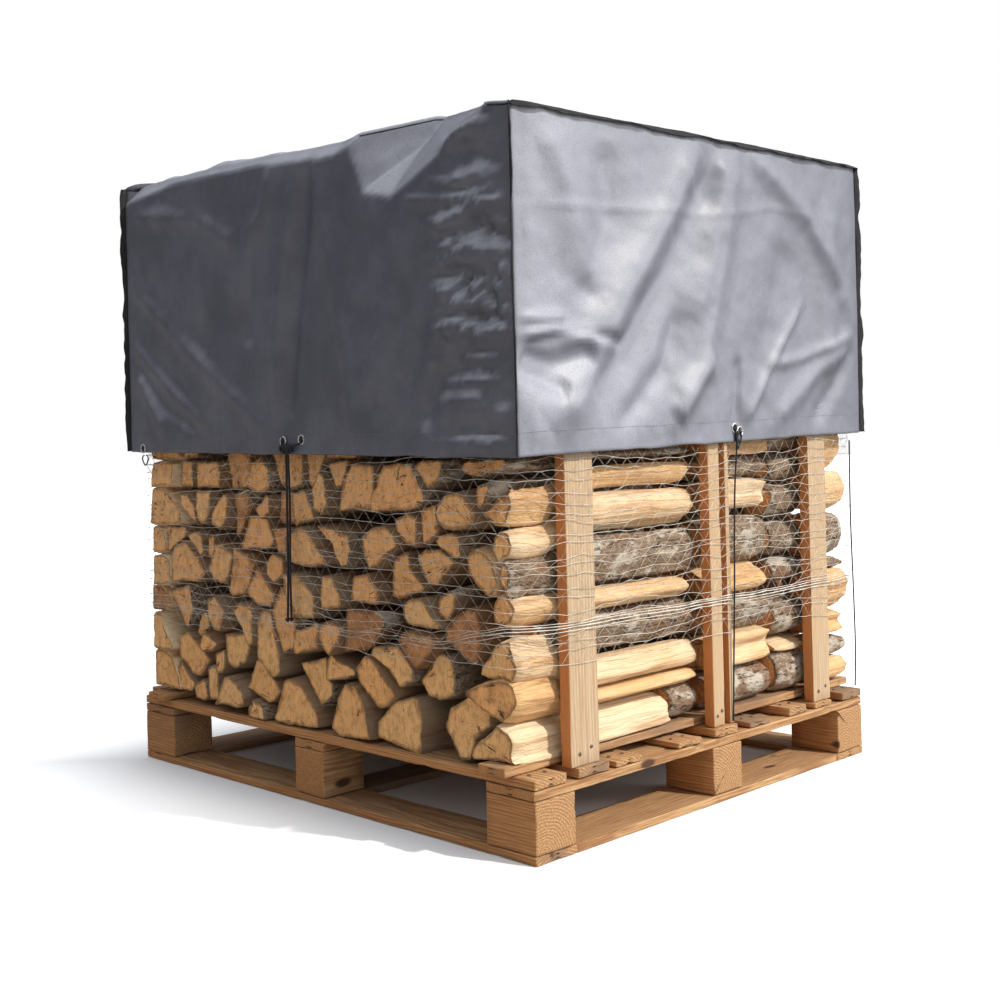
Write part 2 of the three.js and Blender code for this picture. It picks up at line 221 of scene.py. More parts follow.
sun_data = bpy.data.lights.new("sun", "SUN")
sun_data.energy = 3.4
sun_data.angle = math.radians(1.5)
sun_data.color = (1.0, 0.965, 0.9)
panel_data = bpy.data.lights.new("panel", "AREA")
panel_data.shape = "SQUARE"
panel_data.size = PANEL_SIDE
panel_data.energy = 70
for data, place in ((sun_data, SUN_FROM), (panel_data, PANEL_PLACE)):
    lamp = bpy.data.objects.new(data.name, data)
    scene.collection.objects.link(lamp)
    lamp.location = place
    lamp.rotation_mode = "QUATERNION"
    lamp.rotation_quaternion = (Vector(place) - Vector(AIM[data.name])).to_track_quat("Z", "Y")
print("sun", sun_data.energy, "and panel", panel_data.energy, "W")

# %% [markdown]
# The sky fills the shadows. An even sky would wash out the dark front of the cover, which mirrors what is
# low on the left, so the sky is dimmer there, and also low at the far left. The camera itself sees plain
# white behind the stack, as in a studio.

# %% The sky
scene.world = bpy.data.worlds.new("sky")
scene.world.use_nodes = True
sky = Nodes(scene.world.node_tree)
toward = sky.node("ShaderNodeTexCoord", {}, {}, "Generated")
east, north, height = sky.apart(toward)
dim_side = sky.fade(east + north, 0.8, -0.8) * sky.fade(height, 0.75, 0.3)
darkest = sky.fade(east, -0.2, -0.8)
dim_colour = sky.mix(darkest, shade(172, 168, 164), shade(76, 80, 90))
sky_colour = sky.mix(dim_side, shade(222, 228, 236), dim_colour)
far_side = sky.fade(north - east, 0.1, 0.5) * sky.fade(height, 0.5, 0.2)
sky_colour = sky.mix(far_side, sky_colour, shade(132, 132, 136))
seen = sky.node("ShaderNodeLightPath", {}, {}, "Is Camera Ray")
background = sky.tree.nodes["Background"]
sky.feed(background.inputs["Color"], sky.mix(seen, sky_colour, (1, 1, 1, 1)))
scene.view_settings.view_transform = "Standard"
print("sky of", len(sky.tree.nodes), "nodes")

# %% [markdown]
# The floor is plain and pale. To the camera it is nearly white, but what it throws back on the wood is
# darker, because a white floor would light the shaded side too much. Away from the pallet it glows a
# little, which softens the long shadow as a bright studio floor does.

# %% The floor
FLOOR_REACH = 30.0
FLOOR_SUNK = 0.0005  # just under the pallet, so that the two never flicker

floor_mesh = bpy.data.meshes.new("floor")
floor_corners = ((-1, -1), (1, -1), (1, 1), (-1, 1))
floor_points = [(x * FLOOR_REACH, y * FLOOR_REACH, -FLOOR_SUNK) for x, y in floor_corners]
floor_mesh.from_pydata(floor_points, [], [range(4)])
floor = bpy.data.objects.new("floor", floor_mesh)
scene.collection.objects.link(floor)
floor_finish = Finish("floor_paint", Roughness=0.9, Emission_Strength=1.0)
floor_seen = floor_finish.node("ShaderNodeLightPath", {}, {}, "Is Camera Ray")
floor_colour = floor_finish.mix(floor_seen, (0.44, 0.41, 0.37, 1), (0.9, 0.9, 0.9, 1))
across, back, _ = floor_finish.apart(floor_finish.place())
beside = floor_finish.fade(abs(across), 0.52, 0.85)
before = floor_finish.fade(abs(back), 0.44, 0.8)
away = floor_finish.node("ShaderNodeMath", {"operation": "MAXIMUM"}, {0: beside, 1: before})
softened = floor_finish.mix(floor_seen * away, (0, 0, 0, 1), (0.6, 0.6, 0.6, 1))
floor_mesh.materials.append(floor_finish.paint(Base_Color=floor_colour, Emission_Color=softened))
print("floor", 2 * FLOOR_REACH, "m wide")

# %% [markdown]
# ## Making a mesh
# Most pieces here are rows of points joined into strips: a board, a log, a cord and the cover all are.
# One helper joins such rings into faces, and another turns points and faces into a finished piece.

# %% Rings into faces
def ring_faces(rings, count, loop=False):
    """Four-sided faces between rings of points that follow each other, and back to the first in a loop."""
    ring, place = np.meshgrid(np.arange(rings if loop else rings - 1), np.arange(count))
    ring, place = ring.T.ravel(), place.T.ravel()
    ahead, beside = (ring + 1) % rings, (place + 1) % count
    corners = [ring * count + place, ring * count + beside, ahead * count + beside, ahead * count + place]
    return np.stack(corners, axis=1).tolist()


def fan(first, count, tip):
    """Three-sided faces between a ring of points, which starts at first, and one more point."""
    return [[first + place, first + (place + 1) % count, tip] for place in range(count)]


def together(parts):
    """Several sets of points and faces as one."""
    starts = np.cumsum([0] + [len(part[0]) for part in parts])
    faces = [[corner + start for corner in face] for start, part in zip(starts, parts) for face in part[1]]
    return np.concatenate([part[0] for part in parts]), faces


# %% Points and faces into a piece
def make_piece(name, points, faces, finishes, slot, stands_for=(), finish_of=None, marks=None, flat=False):
    """Makes a mesh, dresses it, and has it ride on the part's one body."""
    mesh = bpy.data.meshes.new(name)
    mesh.from_pydata(np.asarray(points).tolist(), [], faces)
    for finish in finishes:
        mesh.materials.append(finish)
    if finish_of is not None:
        mesh.polygons.foreach_set("material_index", np.asarray(finish_of, np.int32))
    mesh.polygons.foreach_set("use_smooth", [not flat] * len(mesh.polygons))
    for mark, values in (marks or {}).items():
        values = np.asarray(values, np.float32)
        single = values.ndim == 1
        made = mesh.attributes.new(mark, "FLOAT" if single else "FLOAT_VECTOR", "POINT")
        made.data.foreach_set("value" if single else "vector", values.ravel())
    mesh.update()
    piece = bpy.data.objects.new(name, mesh)
    scene.collection.objects.link(piece)
    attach(piece, "root")
    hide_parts(*stands_for)
    return piece


# %% Small sums with rows of points
def uneven(points, size, drawn_out=1.0, seed=0.0, octaves=3):
    """Smooth noise at each point, about -1 to 1, drawn out along the third axis."""
    scaled = points.reshape(-1, 3) / (size, size, size * drawn_out) + seed
    values = [noise.fractal(point, 1.0, 2.0, octaves) for point in scaled.tolist()]
    return np.array(values).reshape(points.shape[:-1])


def unit(vectors):
    """Vectors of the same directions, each one long."""
    return vectors / np.linalg.norm(vectors, axis=-1)[..., None]


def reach_along(line):
    """How far along a line each of its points lies."""
    return np.concatenate([[0], np.cumsum(np.linalg.norm(np.diff(line, axis=0), axis=1))])


def points_at(line, places):
    """The points that lie this far along a line."""
    reach = reach_along(line)
    return np.stack([np.interp(places, reach, axis) for axis in line.T], axis=1)


def eased(share):
    """A share from 0 to 1 that starts and ends gently."""
    return share**2 * (3 - 2 * share)


def way_on(route, loop=False):
    """The direction in which a route goes on at each of its points."""
    ahead = np.roll(route, -1, axis=0) - np.roll(route, 1, axis=0)
    if not loop:
        ahead[0], ahead[-1] = route[1] - route[0], route[-1] - route[-2]
    return ahead


# %% [markdown]
# ## The cords first
# Four thin cords hang on the cover. Two tails fall from a knot between the front eyelets, one cord runs
# from a toggle on the right down to the foot of the lath, and one ties the back corner down. Their
# routes are those of the solids, in metres, and each is a round tube with the plait drawn by its finish.

# %% A smooth route through stops
def smooth_route(stops, count):
    """Points at even steps along a smooth line through the stops."""
    stops = np.array(stops, float)
    padded = np.vstack([2 * stops[0] - stops[1], stops, 2 * stops[-1] - stops[-2]])
    spans = len(stops) - 1
    line = []
    for place in np.linspace(0, spans, 40 * spans + 1):
        span = min(int(place), spans - 1)
        t = place - span
        a, b, c, d = padded[span : span + 4]
        line.append(b + 0.5 * t * (c - a + t * (2 * a - 5 * b + 4 * c - d + t * (3 * (b - c) + d - a))))
    line = np.array(line)
    return points_at(line, np.linspace(0, reach_along(line)[-1], count))


# %% A tube along a route
def tube(route, radius, sides, loop=False, steady=None):
    """Points, faces and plait marks of a round tube. radius may change along the route.

    steady is a direction that the route never takes, which keeps the tube from turning over.
    """
    route = np.asarray(route, float)
    ahead = unit(way_on(route, loop))
    if steady is None:
        steady = (0, 0, 1.0) if np.abs(ahead[:, 2]).mean() < 0.7 else (0, 1.0, 0)
    across = unit(np.cross(ahead, steady))
    upward = np.cross(across, ahead)
    turn = np.linspace(0, 2 * math.pi, sides, endpoint=False)
    spoke = np.cos(turn)[None, :, None] * across[:, None] + np.sin(turn)[None, :, None] * upward[:, None]
    wide = np.broadcast_to(np.asarray(radius, float), (len(route),))
    points = (route[:, None] + spoke * wide[:, None, None]).reshape(-1, 3)
    faces = [face[::-1] for face in ring_faces(len(route), sides, loop)]
    if not loop:
        faces.append(list(range(sides)))
        faces.append(list(range(len(points) - 1, len(points) - 1 - sides, -1)))
    plait = np.stack(np.broadcast_arrays(turn[None, :], reach_along(route)[:, None], 0.0), axis=2)
    return points, faces, plait.reshape(-1, 3)


# %% The finish of a plaited cord
def plaited_cord():
    cord = Finish("black_plait", Base_Color=shade(20, 20, 22), Roughness=0.62)
    turn, reach, _ = cord.apart(cord.mark("plait", "Vector"))
    one_way = cord.wave(turn * 3.0 + reach * 1900.0)
    other_way = cord.wave(turn * 3.0 - reach * 1900.0)
    weave = one_way * other_way * 0.5 + 0.5
    cord.bump(weave, 0.0006)
    return cord.paint(Base_Color=cord.mix(weave, shade(10, 10, 12), shade(38, 38, 42)))


CORD_FINISH = plaited_cord()


def cord_piece(name, tubes, stands_for=()):
    """One piece from one or more tubes of cord."""
    plait = np.concatenate([each[2] for each in tubes])
    return make_piece(name, *together(tubes), [CORD_FINISH], "cord", stands_for, marks={"plait": plait})


# %% The two tails and the ties
TAIL_RADIUS = 0.0022
TIE_RADIUS = 0.0016
CORD_ROUTES = {
    "front_tail_left": [
        (-0.017, -0.523, 0.6657), (-0.0185, -0.523, 0.5706), (-0.0205, -0.523, 0.4436),
        (-0.025, -0.523, 0.3467),
    ],
    "front_tail_right": [
        (-0.011, -0.523, 0.6657), (-0.0095, -0.523, 0.5706), (-0.0135, -0.523, 0.4436),
        (-0.013, -0.523, 0.3487),
    ],
    "right_tie": [
        (0.6016, 0.07, 0.655), (0.6004, 0.061, 0.56), (0.5992, 0.054, 0.37),
        (0.597, 0.05, 0.25), (0.595, 0.047, 0.142),
    ],
    "rear_tie": [
        (0.574, 0.5206, 0.664), (0.576, 0.515, 0.5), (0.58, 0.5134, 0.33),
        (0.586, 0.505, 0.22), (0.589, 0.495, 0.142),
    ],
}

for name, stops in CORD_ROUTES.items():
    hangs = name.startswith("front")
    radius = TAIL_RADIUS if hangs else TIE_RADIUS
    route = smooth_route(stops, 60)
    cord = cord_piece(name + "_cord", [tube(route, radius, 12)], [name])

# %% [markdown]
# ## Lengths of wood
# A board and a split log are the same thing to a saw: an outline, cut off square at two ends. So one
# helper makes both. It rounds the outline's corners, repeats it along the grain with a little sway, and
# closes each end with smaller rings, which gives the sawn edge its worn bevel.

# %% Outlines
def rounded(corners, radius, step):
    """The outline with each corner rounded and each side divided into steps."""
    corners = np.array(corners, float)
    path = []
    for before, corner, after in zip(np.roll(corners, 1, axis=0), corners, np.roll(corners, -1, axis=0)):
        reach = [min(radius, 0.45 * np.linalg.norm(side - corner)) for side in (before, after)]
        start = corner + (before - corner) * reach[0] / np.linalg.norm(before - corner)
        end = corner + (after - corner) * reach[1] / np.linalg.norm(after - corner)
        for t in (0, 0.33, 0.67, 1):
            path.append((1 - t) ** 2 * start + 2 * t * (1 - t) * corner + t * t * end)
    outline = []
    for here, following in zip(path, path[1:] + path[:1]):
        parts = max(1, round(np.linalg.norm(following - here) / step))
        outline.extend(here + (following - here) * part / parts for part in range(parts))
    return np.array(outline)


def trimmed(outline, normal, reach):
    """The part of a convex outline on the near side of a line."""
    kept = []
    for here, following in zip(outline, np.roll(outline, -1, axis=0)):
        near, far = here @ normal - reach, following @ normal - reach
        if near <= 0:
            kept.append(here)
        if near * far < 0:
            kept.append(here + (following - here) * near / (near - far))
    return np.array(kept)


# %% A sawn length
BEVEL = 0.0012  # the worn edge of a sawn end
RIM = 0.004  # how wide the dark band round the edge of a sawn end is: partly bark, partly painted shade of the gaps between the logs
CAP_SHARES = (0.62, 0.3)  # the size of the inner rings of a sawn end
CAP_RINGS = 2 + len(CAP_SHARES)


def sawn_length(outline, near, far, step, roughen, tilt=(0, 0), bow=(0, 0)):
    """Rings of points from the middle of one sawn end to the middle of the other, along the third axis."""
    count = max(4, round((far - near) / step))
    middle = outline.mean(axis=0)
    beside = np.roll(outline, -1, axis=0) - np.roll(outline, 1, axis=0)
    outward = unit(np.stack([beside[:, 1], -beside[:, 0]], axis=1))
    along = np.linspace(near + BEVEL, far - BEVEL, count)
    share = (along - near) / (far - near)
    rings = np.empty((count, len(outline), 3))
    rings[:, :, :2] = outline
    rings[:, :, 2] = along[:, None]
    rings[:, :, :2] += (roughen(rings)[:, :, None]) * outward
    rings[:, :, :2] += np.sin(math.pi * share)[:, None, None] * np.array(bow)
    caps = []
    for ring, place in ((rings[0], near), (rings[-1], far)):
        spoke = ring[:, :2] - middle
        wide = np.linalg.norm(spoke, axis=1)[:, None]
        for inward in (1 - BEVEL / wide, 1 - (BEVEL + RIM) / wide, *CAP_SHARES):
            flat = middle + spoke * np.maximum(inward, 0.25)
            caps.append(np.column_stack([flat, np.full(len(ring), place)]))
    rings = np.concatenate([caps[:CAP_RINGS][::-1], rings, caps[CAP_RINGS:]])
    lean = (rings[:, :, :2] - middle) @ np.array(tilt)
    rings[:, :, 2] += lean * np.abs(2 * (rings[:, :, 2] - near) / (far - near) - 1)
    return rings


# %% The skin of a sawn length
SPLIT, BARK, SAWN = 0, 1, 2


def skin_of(rings, bark=None):
    """Points and faces of a sawn length, and the finish of each face."""
    count, around = rings.shape[:2]
    ends = [rings[0].mean(axis=0), rings[-1].mean(axis=0)]
    points = np.concatenate([rings.reshape(-1, 3), ends])
    faces = ring_faces(count, around)
    bark = np.zeros(around, bool) if bark is None else bark & np.roll(bark, -1)
    kind = np.tile(np.where(bark, BARK, SPLIT), (count - 1, 1))
    inner = CAP_RINGS - 2
    kind[:inner] = kind[count - 1 - inner :] = SAWN
    kind[inner, ~bark] = kind[count - 2 - inner, ~bark] = SAWN
    beside = (np.arange(around) + 1) % around
    low, high = len(points) - 2, len(points) - 1
    last = (count - 1) * around
    faces += [[low, other, place] for place, other in enumerate(beside)]
    faces += [[high, last + place, last + other] for place, other in enumerate(beside)]
    return points, faces, np.concatenate([kind.ravel(), np.full(2 * around, SAWN)])


# %% [markdown]
# ## Sawn timber
# Pallet boards are cut from whatever is cheap. They are cream to orange, streaked along the grain, with
# dark knots, grey where rain has lain on them, and their edges are bruised. The rings of the tree are
# drawn as circles round a heart that lies beside the board, so that they run as lines along its faces and
# as arcs on its ends, as they do in a real plank.

# %% The finish of sawn timber
def sawn_timber(name, pale, dark, weathered, knot, front_shade_painted):
    timber = Finish(name)
    grain = timber.mark("grain", "Vector")
    tone = timber.mark("tone")
    across, through, _ = timber.apart(grain)
    sway = timber.noise(grain * (9.0, 9.0, 1.6), 1.0, 2.0)
    heart_away = ((across + 0.04) ** 2 + (through + 0.09) ** 2) ** 0.5
    rings = timber.wave((heart_away + sway * 0.03) * 1150.0)
    streaks = timber.noise(grain * (330.0, 330.0, 9.0), 1.0, 4.0, 0.62)
    patches = timber.noise(grain * (17.0, 17.0, 5.0), 1.0, 4.0, 0.6)
    lines = timber.fade(rings * 0.09 + streaks, 0.32, 0.76)
    body = timber.mix(lines, dark, pale)
    body = timber.mix(timber.fade(patches + tone * 0.25, 0.42, 0.8), body, weathered)
    # Painted shade: faces that look toward the front, which lie in shade, are painted a darker orange-brown.
    facing = timber.node("ShaderNodeNewGeometry", {}, {}, "Normal")
    _, toward_back, _ = timber.apart(facing)
    body = timber.mix(timber.fade(toward_back, -0.4, -0.8) * front_shade_painted, body, shade(202, 122, 52))
    cells = {"Vector": grain * (11.0, 11.0, 4.6), "Scale": 1.0}
    spots = timber.node("ShaderNodeTexVoronoi", {}, cells, "Distance")
    knots = timber.fade(spots + streaks * 0.05, 0.145, 0.085)
    body = timber.mix(knots, body, knot)
    fibres = timber.noise(grain * (900.0, 900.0, 26.0), 1.0, 3.0, 0.7)
    timber.bump(fibres * 0.5 + streaks * 0.8 + rings * 0.04 - knots * 0.3, 0.0018)
    return timber.paint(Base_Color=body, Roughness=0.86 - lines * 0.16)


# The last value is how strongly the faces toward the front are painted in shade.
PALLET_FINISH = sawn_timber(
    "pallet_timber", shade(204, 164, 116), shade(150, 104, 64), shade(136, 108, 84), shade(78, 48, 28), 0.35
)
POST_FINISH = sawn_timber(
    "post_timber", shade(198, 178, 150), shade(178, 146, 112), shade(190, 160, 124), shade(92, 54, 32), 0.8
)

# %% [markdown]
# Each board, block and post takes the place of one plain box. The box gives its size and place, and the
# board's own random draws give it worn faces, bruised edges and a stretch of grain that no other has.

# %% A board in place of each plain box
BOARD_STEP = 0.022


def board(name, finish, slot, scatter):
    low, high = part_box(name)
    sides = [high[axis] - low[axis] for axis in range(3)]
    long = int(np.argmax(sides))
    a, b = (long + 1) % 3, (long + 2) % 3
    corners = [(low[a], low[b]), (high[a], low[b]), (high[a], high[b]), (low[a], high[b])]
    outline = rounded(corners, scatter.uniform(0.0014, 0.003), 0.012)
    drift = scatter.uniform(-50, 50, 3)

    def roughen(rings):
        worn = uneven(rings + drift, 0.03, 5.0, octaves=3)
        bruised = np.minimum(uneven(rings - drift, 0.016, 2.0) + 0.25, 0)
        return 0.0009 * worn + 0.004 * bruised - 0.0007

    points, faces, _ = skin_of(sawn_length(outline, low[long], high[long], BOARD_STEP, roughen))
    placed = np.empty_like(points)
    placed[:, [a, b, long]] = points
    middle = np.array([(low[a] + high[a]) / 2, (low[b] + high[b]) / 2, 0])
    grain = points - middle + drift * 0.001 + (0, 0, drift[0] * 0.1)
    marks = {"grain": grain, "tone": np.full(len(points), scatter.uniform(-1, 1))}
    return make_piece(name + "_timber", placed, faces, [finish], slot, [name], marks=marks)


scatter = np.random.default_rng(7)
boards = []
for name in sorted(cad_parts):
    group = name.split("_")[0]
    if group in ("base", "block", "stringer", "deck", "rail", "cleat"):
        boards.append(board(name, PALLET_FINISH, "pallet_wood", scatter))
    elif group in ("post", "lath"):
        boards.append(board(name, POST_FINISH, "post_wood", scatter))
print(len(boards), "boards, blocks and posts")

# %% [markdown]
# ## Split logs
# Each log is a wedge of a round trunk, split by axe and sawn at both ends. The heart of the trunk lies at
# the wedge's sharpest corner, its rings are arcs round that corner, and bark is left on the far edge.
# The outlines of the logs that show at the front were measured one by one, in millimetres across and up.
# They lie on a plane just in front of the stack, so they are carried back to the log ends along the
# camera's lines of sight.

# %% Outlines measured at the front
MEASURED_PLANE = -0.512
LOG_FRONT = -0.497
OUTLINES = {
    "A2": (-452, 215, -440, 232, -405, 198, -385, 186, -398, 168, -440, 168),
    "A3": (-392, 180, -362, 200, -345, 198, -338, 165, -355, 153, -388, 155),
    "A4": (-340, 225, -320, 232, -300, 230, -300, 160, -335, 160),
    "A5": (-298, 155, -262, 215, -240, 218, -212, 205, -190, 190, -190, 172, -200, 158),
    "B2": (-440, 283, -408, 295, -330, 243, -368, 203, -395, 203, -445, 240),
    "B3": (-343, 270, -330, 300, -310, 298, -275, 280, -300, 262, -330, 262),
    "B4": (-303, 260, -272, 270, -265, 245, -275, 220, -298, 218),
    "B5": (-267, 302, -200, 308, -184, 278, -205, 245, -238, 230, -262, 243),
    "C2": (-470, 375, -388, 398, -376, 340, -412, 298),
    "C3": (-374, 335, -350, 340, -335, 325, -335, 303, -370, 284, -390, 290),
    "C4": (-318, 372, -285, 380, -246, 350, -265, 308, -288, 304, -318, 330),
    "C5": (-230, 358, -200, 372, -148, 366, -150, 290, -170, 285, -190, 318),
    "C6": (-142, 340, -120, 364, -94, 362, -70, 280, -74, 240, -95, 230, -146, 264),
    "D2": (-448, 445, -440, 475, -400, 488, -345, 450, -325, 420, -345, 405, -448, 400),
    "D3": (-405, 500, -362, 510, -340, 498, -338, 458, -350, 456),
    "D4": (-290, 485, -265, 488, -228, 465, -240, 430, -260, 402, -300, 405, -320, 430),
    "E3": (-410, 590, -378, 590, -350, 560, -350, 520, -385, 545, -408, 565),
    "E5": (-258, 580, -240, 592, -225, 580, -228, 540, -250, 514, -285, 524, -288, 545),
    "F3": (-350, 600, -348, 655, -255, 655, -250, 625, -255, 600),
    "M1": (-200, 198, -165, 258, -140, 258, -75, 205, -94, 188, -120, 176, -186, 194),
    "M2": (-182, 142, -182, 165, -165, 180, -120, 170, -120, 145),
    "M3": (-92, 150, -60, 232, -35, 236, -15, 232, 40, 178, 43, 150, -60, 145),
    "M4": (-28, 265, 58, 283, 64, 243, 82, 236, 82, 212, 46, 185, 15, 218),
    "M5": (-15, 330, 55, 350, 62, 345, 63, 302, -15, 285, -26, 292),
    "M6": (-95, 360, -70, 400, -55, 415, -45, 398, -25, 370, -22, 330, -32, 288, -65, 278, -80, 320),
    "M7": (-40, 440, 10, 440, 50, 400, 50, 358, -5, 352, -38, 400),
    "M8": (68, 345, 90, 358, 135, 350, 125, 320, 95, 292, 80, 302, 66, 325),
    "M9": (68, 415, 80, 440, 110, 440, 135, 405, 135, 385, 65, 374),
    "M10": (72, 272, 85, 298, 98, 288, 155, 270, 156, 260, 110, 247, 70, 242),
    "M11": (85, 155, 108, 215, 135, 243, 165, 245, 188, 218, 206, 150, 110, 143),
    "M12": (160, 278, 195, 304, 215, 298, 278, 240, 262, 220, 225, 208, 202, 224, 168, 252),
    "M13": (125, 302, 140, 345, 150, 382, 235, 382, 258, 370, 222, 327, 200, 312),
    "N2": (-120, 455, -100, 472, -60, 465, -58, 430, -100, 412, -122, 430),
    "N3": (-200, 482, -165, 545, -110, 546, -87, 500, -100, 482, -198, 477),
    "N4": (-138, 560, -95, 588, -80, 583, -80, 552, -115, 540),
    "N5": (-170, 605, -140, 650, -110, 665, -82, 640, -82, 602, -120, 592),
    "N8": (-20, 520, 10, 530, 40, 523, 60, 500, 93, 462, 60, 457, 30, 452, -40, 462),
    "N10": (45, 560, 40, 600, 62, 635, 80, 625, 95, 570, 75, 552),
    "N11": (58, 533, 110, 528, 158, 518, 163, 490, 150, 457, 130, 454, 115, 472, 100, 502),
    "N12": (110, 600, 88, 648, 158, 655, 148, 632, 130, 602),
    "N13": (132, 562, 142, 610, 170, 650, 233, 645, 233, 567),
    "N14": (155, 395, 160, 440, 200, 450, 235, 420, 235, 395),
    "R1": (214, 184, 262, 228, 325, 241, 338, 205, 330, 138, 250, 152, 215, 156),
    "R2": (390, 200, 405, 233, 440, 248, 460, 268, 513, 236, 516, 222, 470, 188, 457, 150, 430, 147,
           415, 165),
    "R3": (468, 155, 474, 175, 505, 198, 530, 222, 563, 200, 573, 165, 570, 158, 480, 152),
    "R4": (328, 268, 375, 322, 408, 322, 425, 290, 422, 254, 380, 242, 347, 244),
    "R5": (212, 307, 217, 318, 282, 328, 322, 287, 322, 264, 285, 254, 257, 282),
    "R6": (462, 270, 500, 285, 540, 295, 588, 290, 598, 270, 578, 238, 545, 226, 525, 234, 466, 258),
}

# %% [markdown]
# The ends at the far left, and those higher up on the right, were measured on the plane of the log ends
# itself. They need no carrying.

# %% Outlines measured on the log ends
END_OUTLINES = {
    "L1": (-572, 163, -575, 200, -572, 222, -556, 243, -515, 243, -492, 232, -480, 212, -466, 190, -462, 166),
    "L2": (-562, 245, -568, 268, -566, 300, -563, 327, -528, 327, -518, 300, -500, 280, -472, 262, -478, 246),
    "L3": (-564, 329, -566, 383, -520, 383, -487, 368, -478, 345, -495, 334),
    "L4": (-572, 385, -576, 410, -572, 430, -566, 451, -500, 451, -482, 440, -478, 396, -520, 384),
    "L5": (-564, 453, -566, 514, -540, 515, -512, 500, -505, 470, -512, 455),
    "L6": (-562, 517, -566, 560, -564, 598, -515, 597, -490, 586, -440, 545, -436, 522, -500, 517),
    "L7": (-564, 600, -564, 654, -500, 656, -456, 650, -455, 603),
    "L11": (-564, 659, -566, 716, -500, 716, -450, 700, -440, 660),
    "L12": (-436, 661, -441, 712, -380, 712, -374, 661),
    "L8": (-449, 602, -447, 655, -402, 656, -402, 600),
    "L9": (-368, 556, -366, 593, -315, 594, -312, 551, -330, 522, -352, 526),
    "L10": (-352, 453, -353, 498, -327, 503, -321, 456),
    "P1": (277, 329, 279, 341, 298, 354, 367, 353, 381, 340, 352, 310, 321, 287, 304, 297),
    "P2": (381, 363, 404, 383, 438, 401, 467, 400, 474, 380, 479, 354, 467, 308, 452, 306, 406, 332,
           383, 341),
    "P3": (466, 290, 471, 306, 494, 321, 502, 340, 521, 352, 548, 354, 575, 340, 580, 290),
    "P4": (283, 375, 285, 398, 296, 407, 340, 413, 354, 402, 366, 384, 387, 370, 380, 362, 329, 361,
           294, 363),
    "P5": (370, 388, 369, 410, 383, 425, 402, 433, 414, 424, 411, 404, 402, 387, 391, 375),
    "P6": (502, 406, 513, 421, 524, 431, 544, 427, 575, 424, 577, 385, 521, 378, 504, 383),
    "P7": (250, 458, 254, 475, 271, 488, 292, 490, 300, 462, 317, 448, 338, 429, 329, 420, 267, 405,
           246, 410),
    "P8": (177, 510, 190, 522, 217, 534, 250, 535, 271, 524, 286, 502, 263, 492, 233, 467, 198, 453,
           181, 480),
    "P9": (317, 487, 340, 497, 376, 498, 417, 480, 406, 467, 367, 436, 344, 433, 321, 463),
    "P10": (367, 513, 387, 525, 413, 530, 438, 527, 440, 484, 424, 483, 390, 496),
    "P11": (443, 490, 460, 502, 483, 499, 510, 483, 525, 467, 520, 446, 504, 427, 494, 423, 463, 443,
            444, 460),
    "P12": (527, 447, 530, 475, 540, 486, 575, 490, 577, 432, 556, 425, 541, 436),
    "P13": (508, 502, 513, 525, 525, 533, 575, 535, 577, 494, 540, 491, 529, 481, 516, 494),
    "P14": (210, 560, 212, 590, 227, 606, 229, 625, 248, 645, 321, 648, 338, 617, 352, 594, 352, 574,
            302, 564),
    "P15": (267, 530, 265, 550, 302, 559, 329, 552, 330, 500, 302, 501, 288, 510),
    "P16": (384, 570, 402, 590, 437, 599, 460, 588, 479, 561, 475, 544, 452, 536, 406, 533, 385, 548),
    "P17": (487, 613, 521, 615, 526, 600, 513, 583, 498, 568, 487, 572, 483, 590),
    "P18": (492, 560, 512, 575, 529, 588, 560, 602, 575, 600, 577, 545, 520, 545),
    "P19": (323, 642, 337, 653, 398, 653, 398, 633, 383, 613, 360, 602, 342, 622),
    "P20": (446, 634, 452, 650, 575, 655, 577, 635, 521, 631, 483, 625, 460, 626),
}

# %% Every measured outline in place
carry_back = (LOG_FRONT - CAMERA_PLACE[1]) / (MEASURED_PLANE - CAMERA_PLACE[1])
sight = np.array([CAMERA_PLACE[0], CAMERA_PLACE[2]])
measured = {}
for name, corners in OUTLINES.items():
    corners = np.reshape(corners, (-1, 2)) * MM
    turning = np.cross(np.append(corners[1] - corners[0], 0), np.append(corners[2] - corners[1], 0))[2]
    corners = corners if turning > 0 else corners[::-1]
    measured[name] = sight + carry_back * (corners - sight)
for name, corners in END_OUTLINES.items():
    measured[name] = np.reshape(corners, (-1, 2))[::-1] * MM
print(len(measured), "log ends measured")

# %% [markdown]
# Some of these ends are brown and some are pale, a few sit deeper in the stack, and here and there a dark
# gap shows where no log ends. All that is written down by name or by place.

# %% Tones, depths and gaps
BROWN_LOGS = {"M13", "R6", "L3", "P1", "P2", "P6", "P20"}
PALE_ROW = "R"
PALE_BELOW = 0.4  # log ends above this height are darker than those below: painted shade on the upper rows
LEFT_COLUMN = "L"
SET_BACK = {"R2": 0.005, "R4": 0.006, "M12": 0.008, "M4": 0.008, "B4": 0.012, "C3": 0.012, "M10": 0.012}
# Where no log end shows, but a dark gap: from and to, across and up.
VOIDS = [
    (300, 392, 125, 240), (-150, -112, 140, 184), (22, 66, 140, 184), (-402, -343, 333, 388),
    (-512, -468, 298, 347), (183, 207, 178, 212), (395, 440, 600, 668), (440, 485, 570, 625),
    (180, 250, 345, 400), (455, 520, 350, 372),
]


def tone_of(name, outline, scatter):
    """How dark a measured log end is, from -1 to 1."""
    pale = name[0] == PALE_ROW
    tone = 0.95 if name in BROWN_LOGS else scatter.uniform(-0.9, -0.5 if pale else 0.1)
    # Painted shade: the ends of the upper rows are made darker.
    return tone if pale or outline[:, 1].mean() <= PALE_BELOW else tone + 0.3


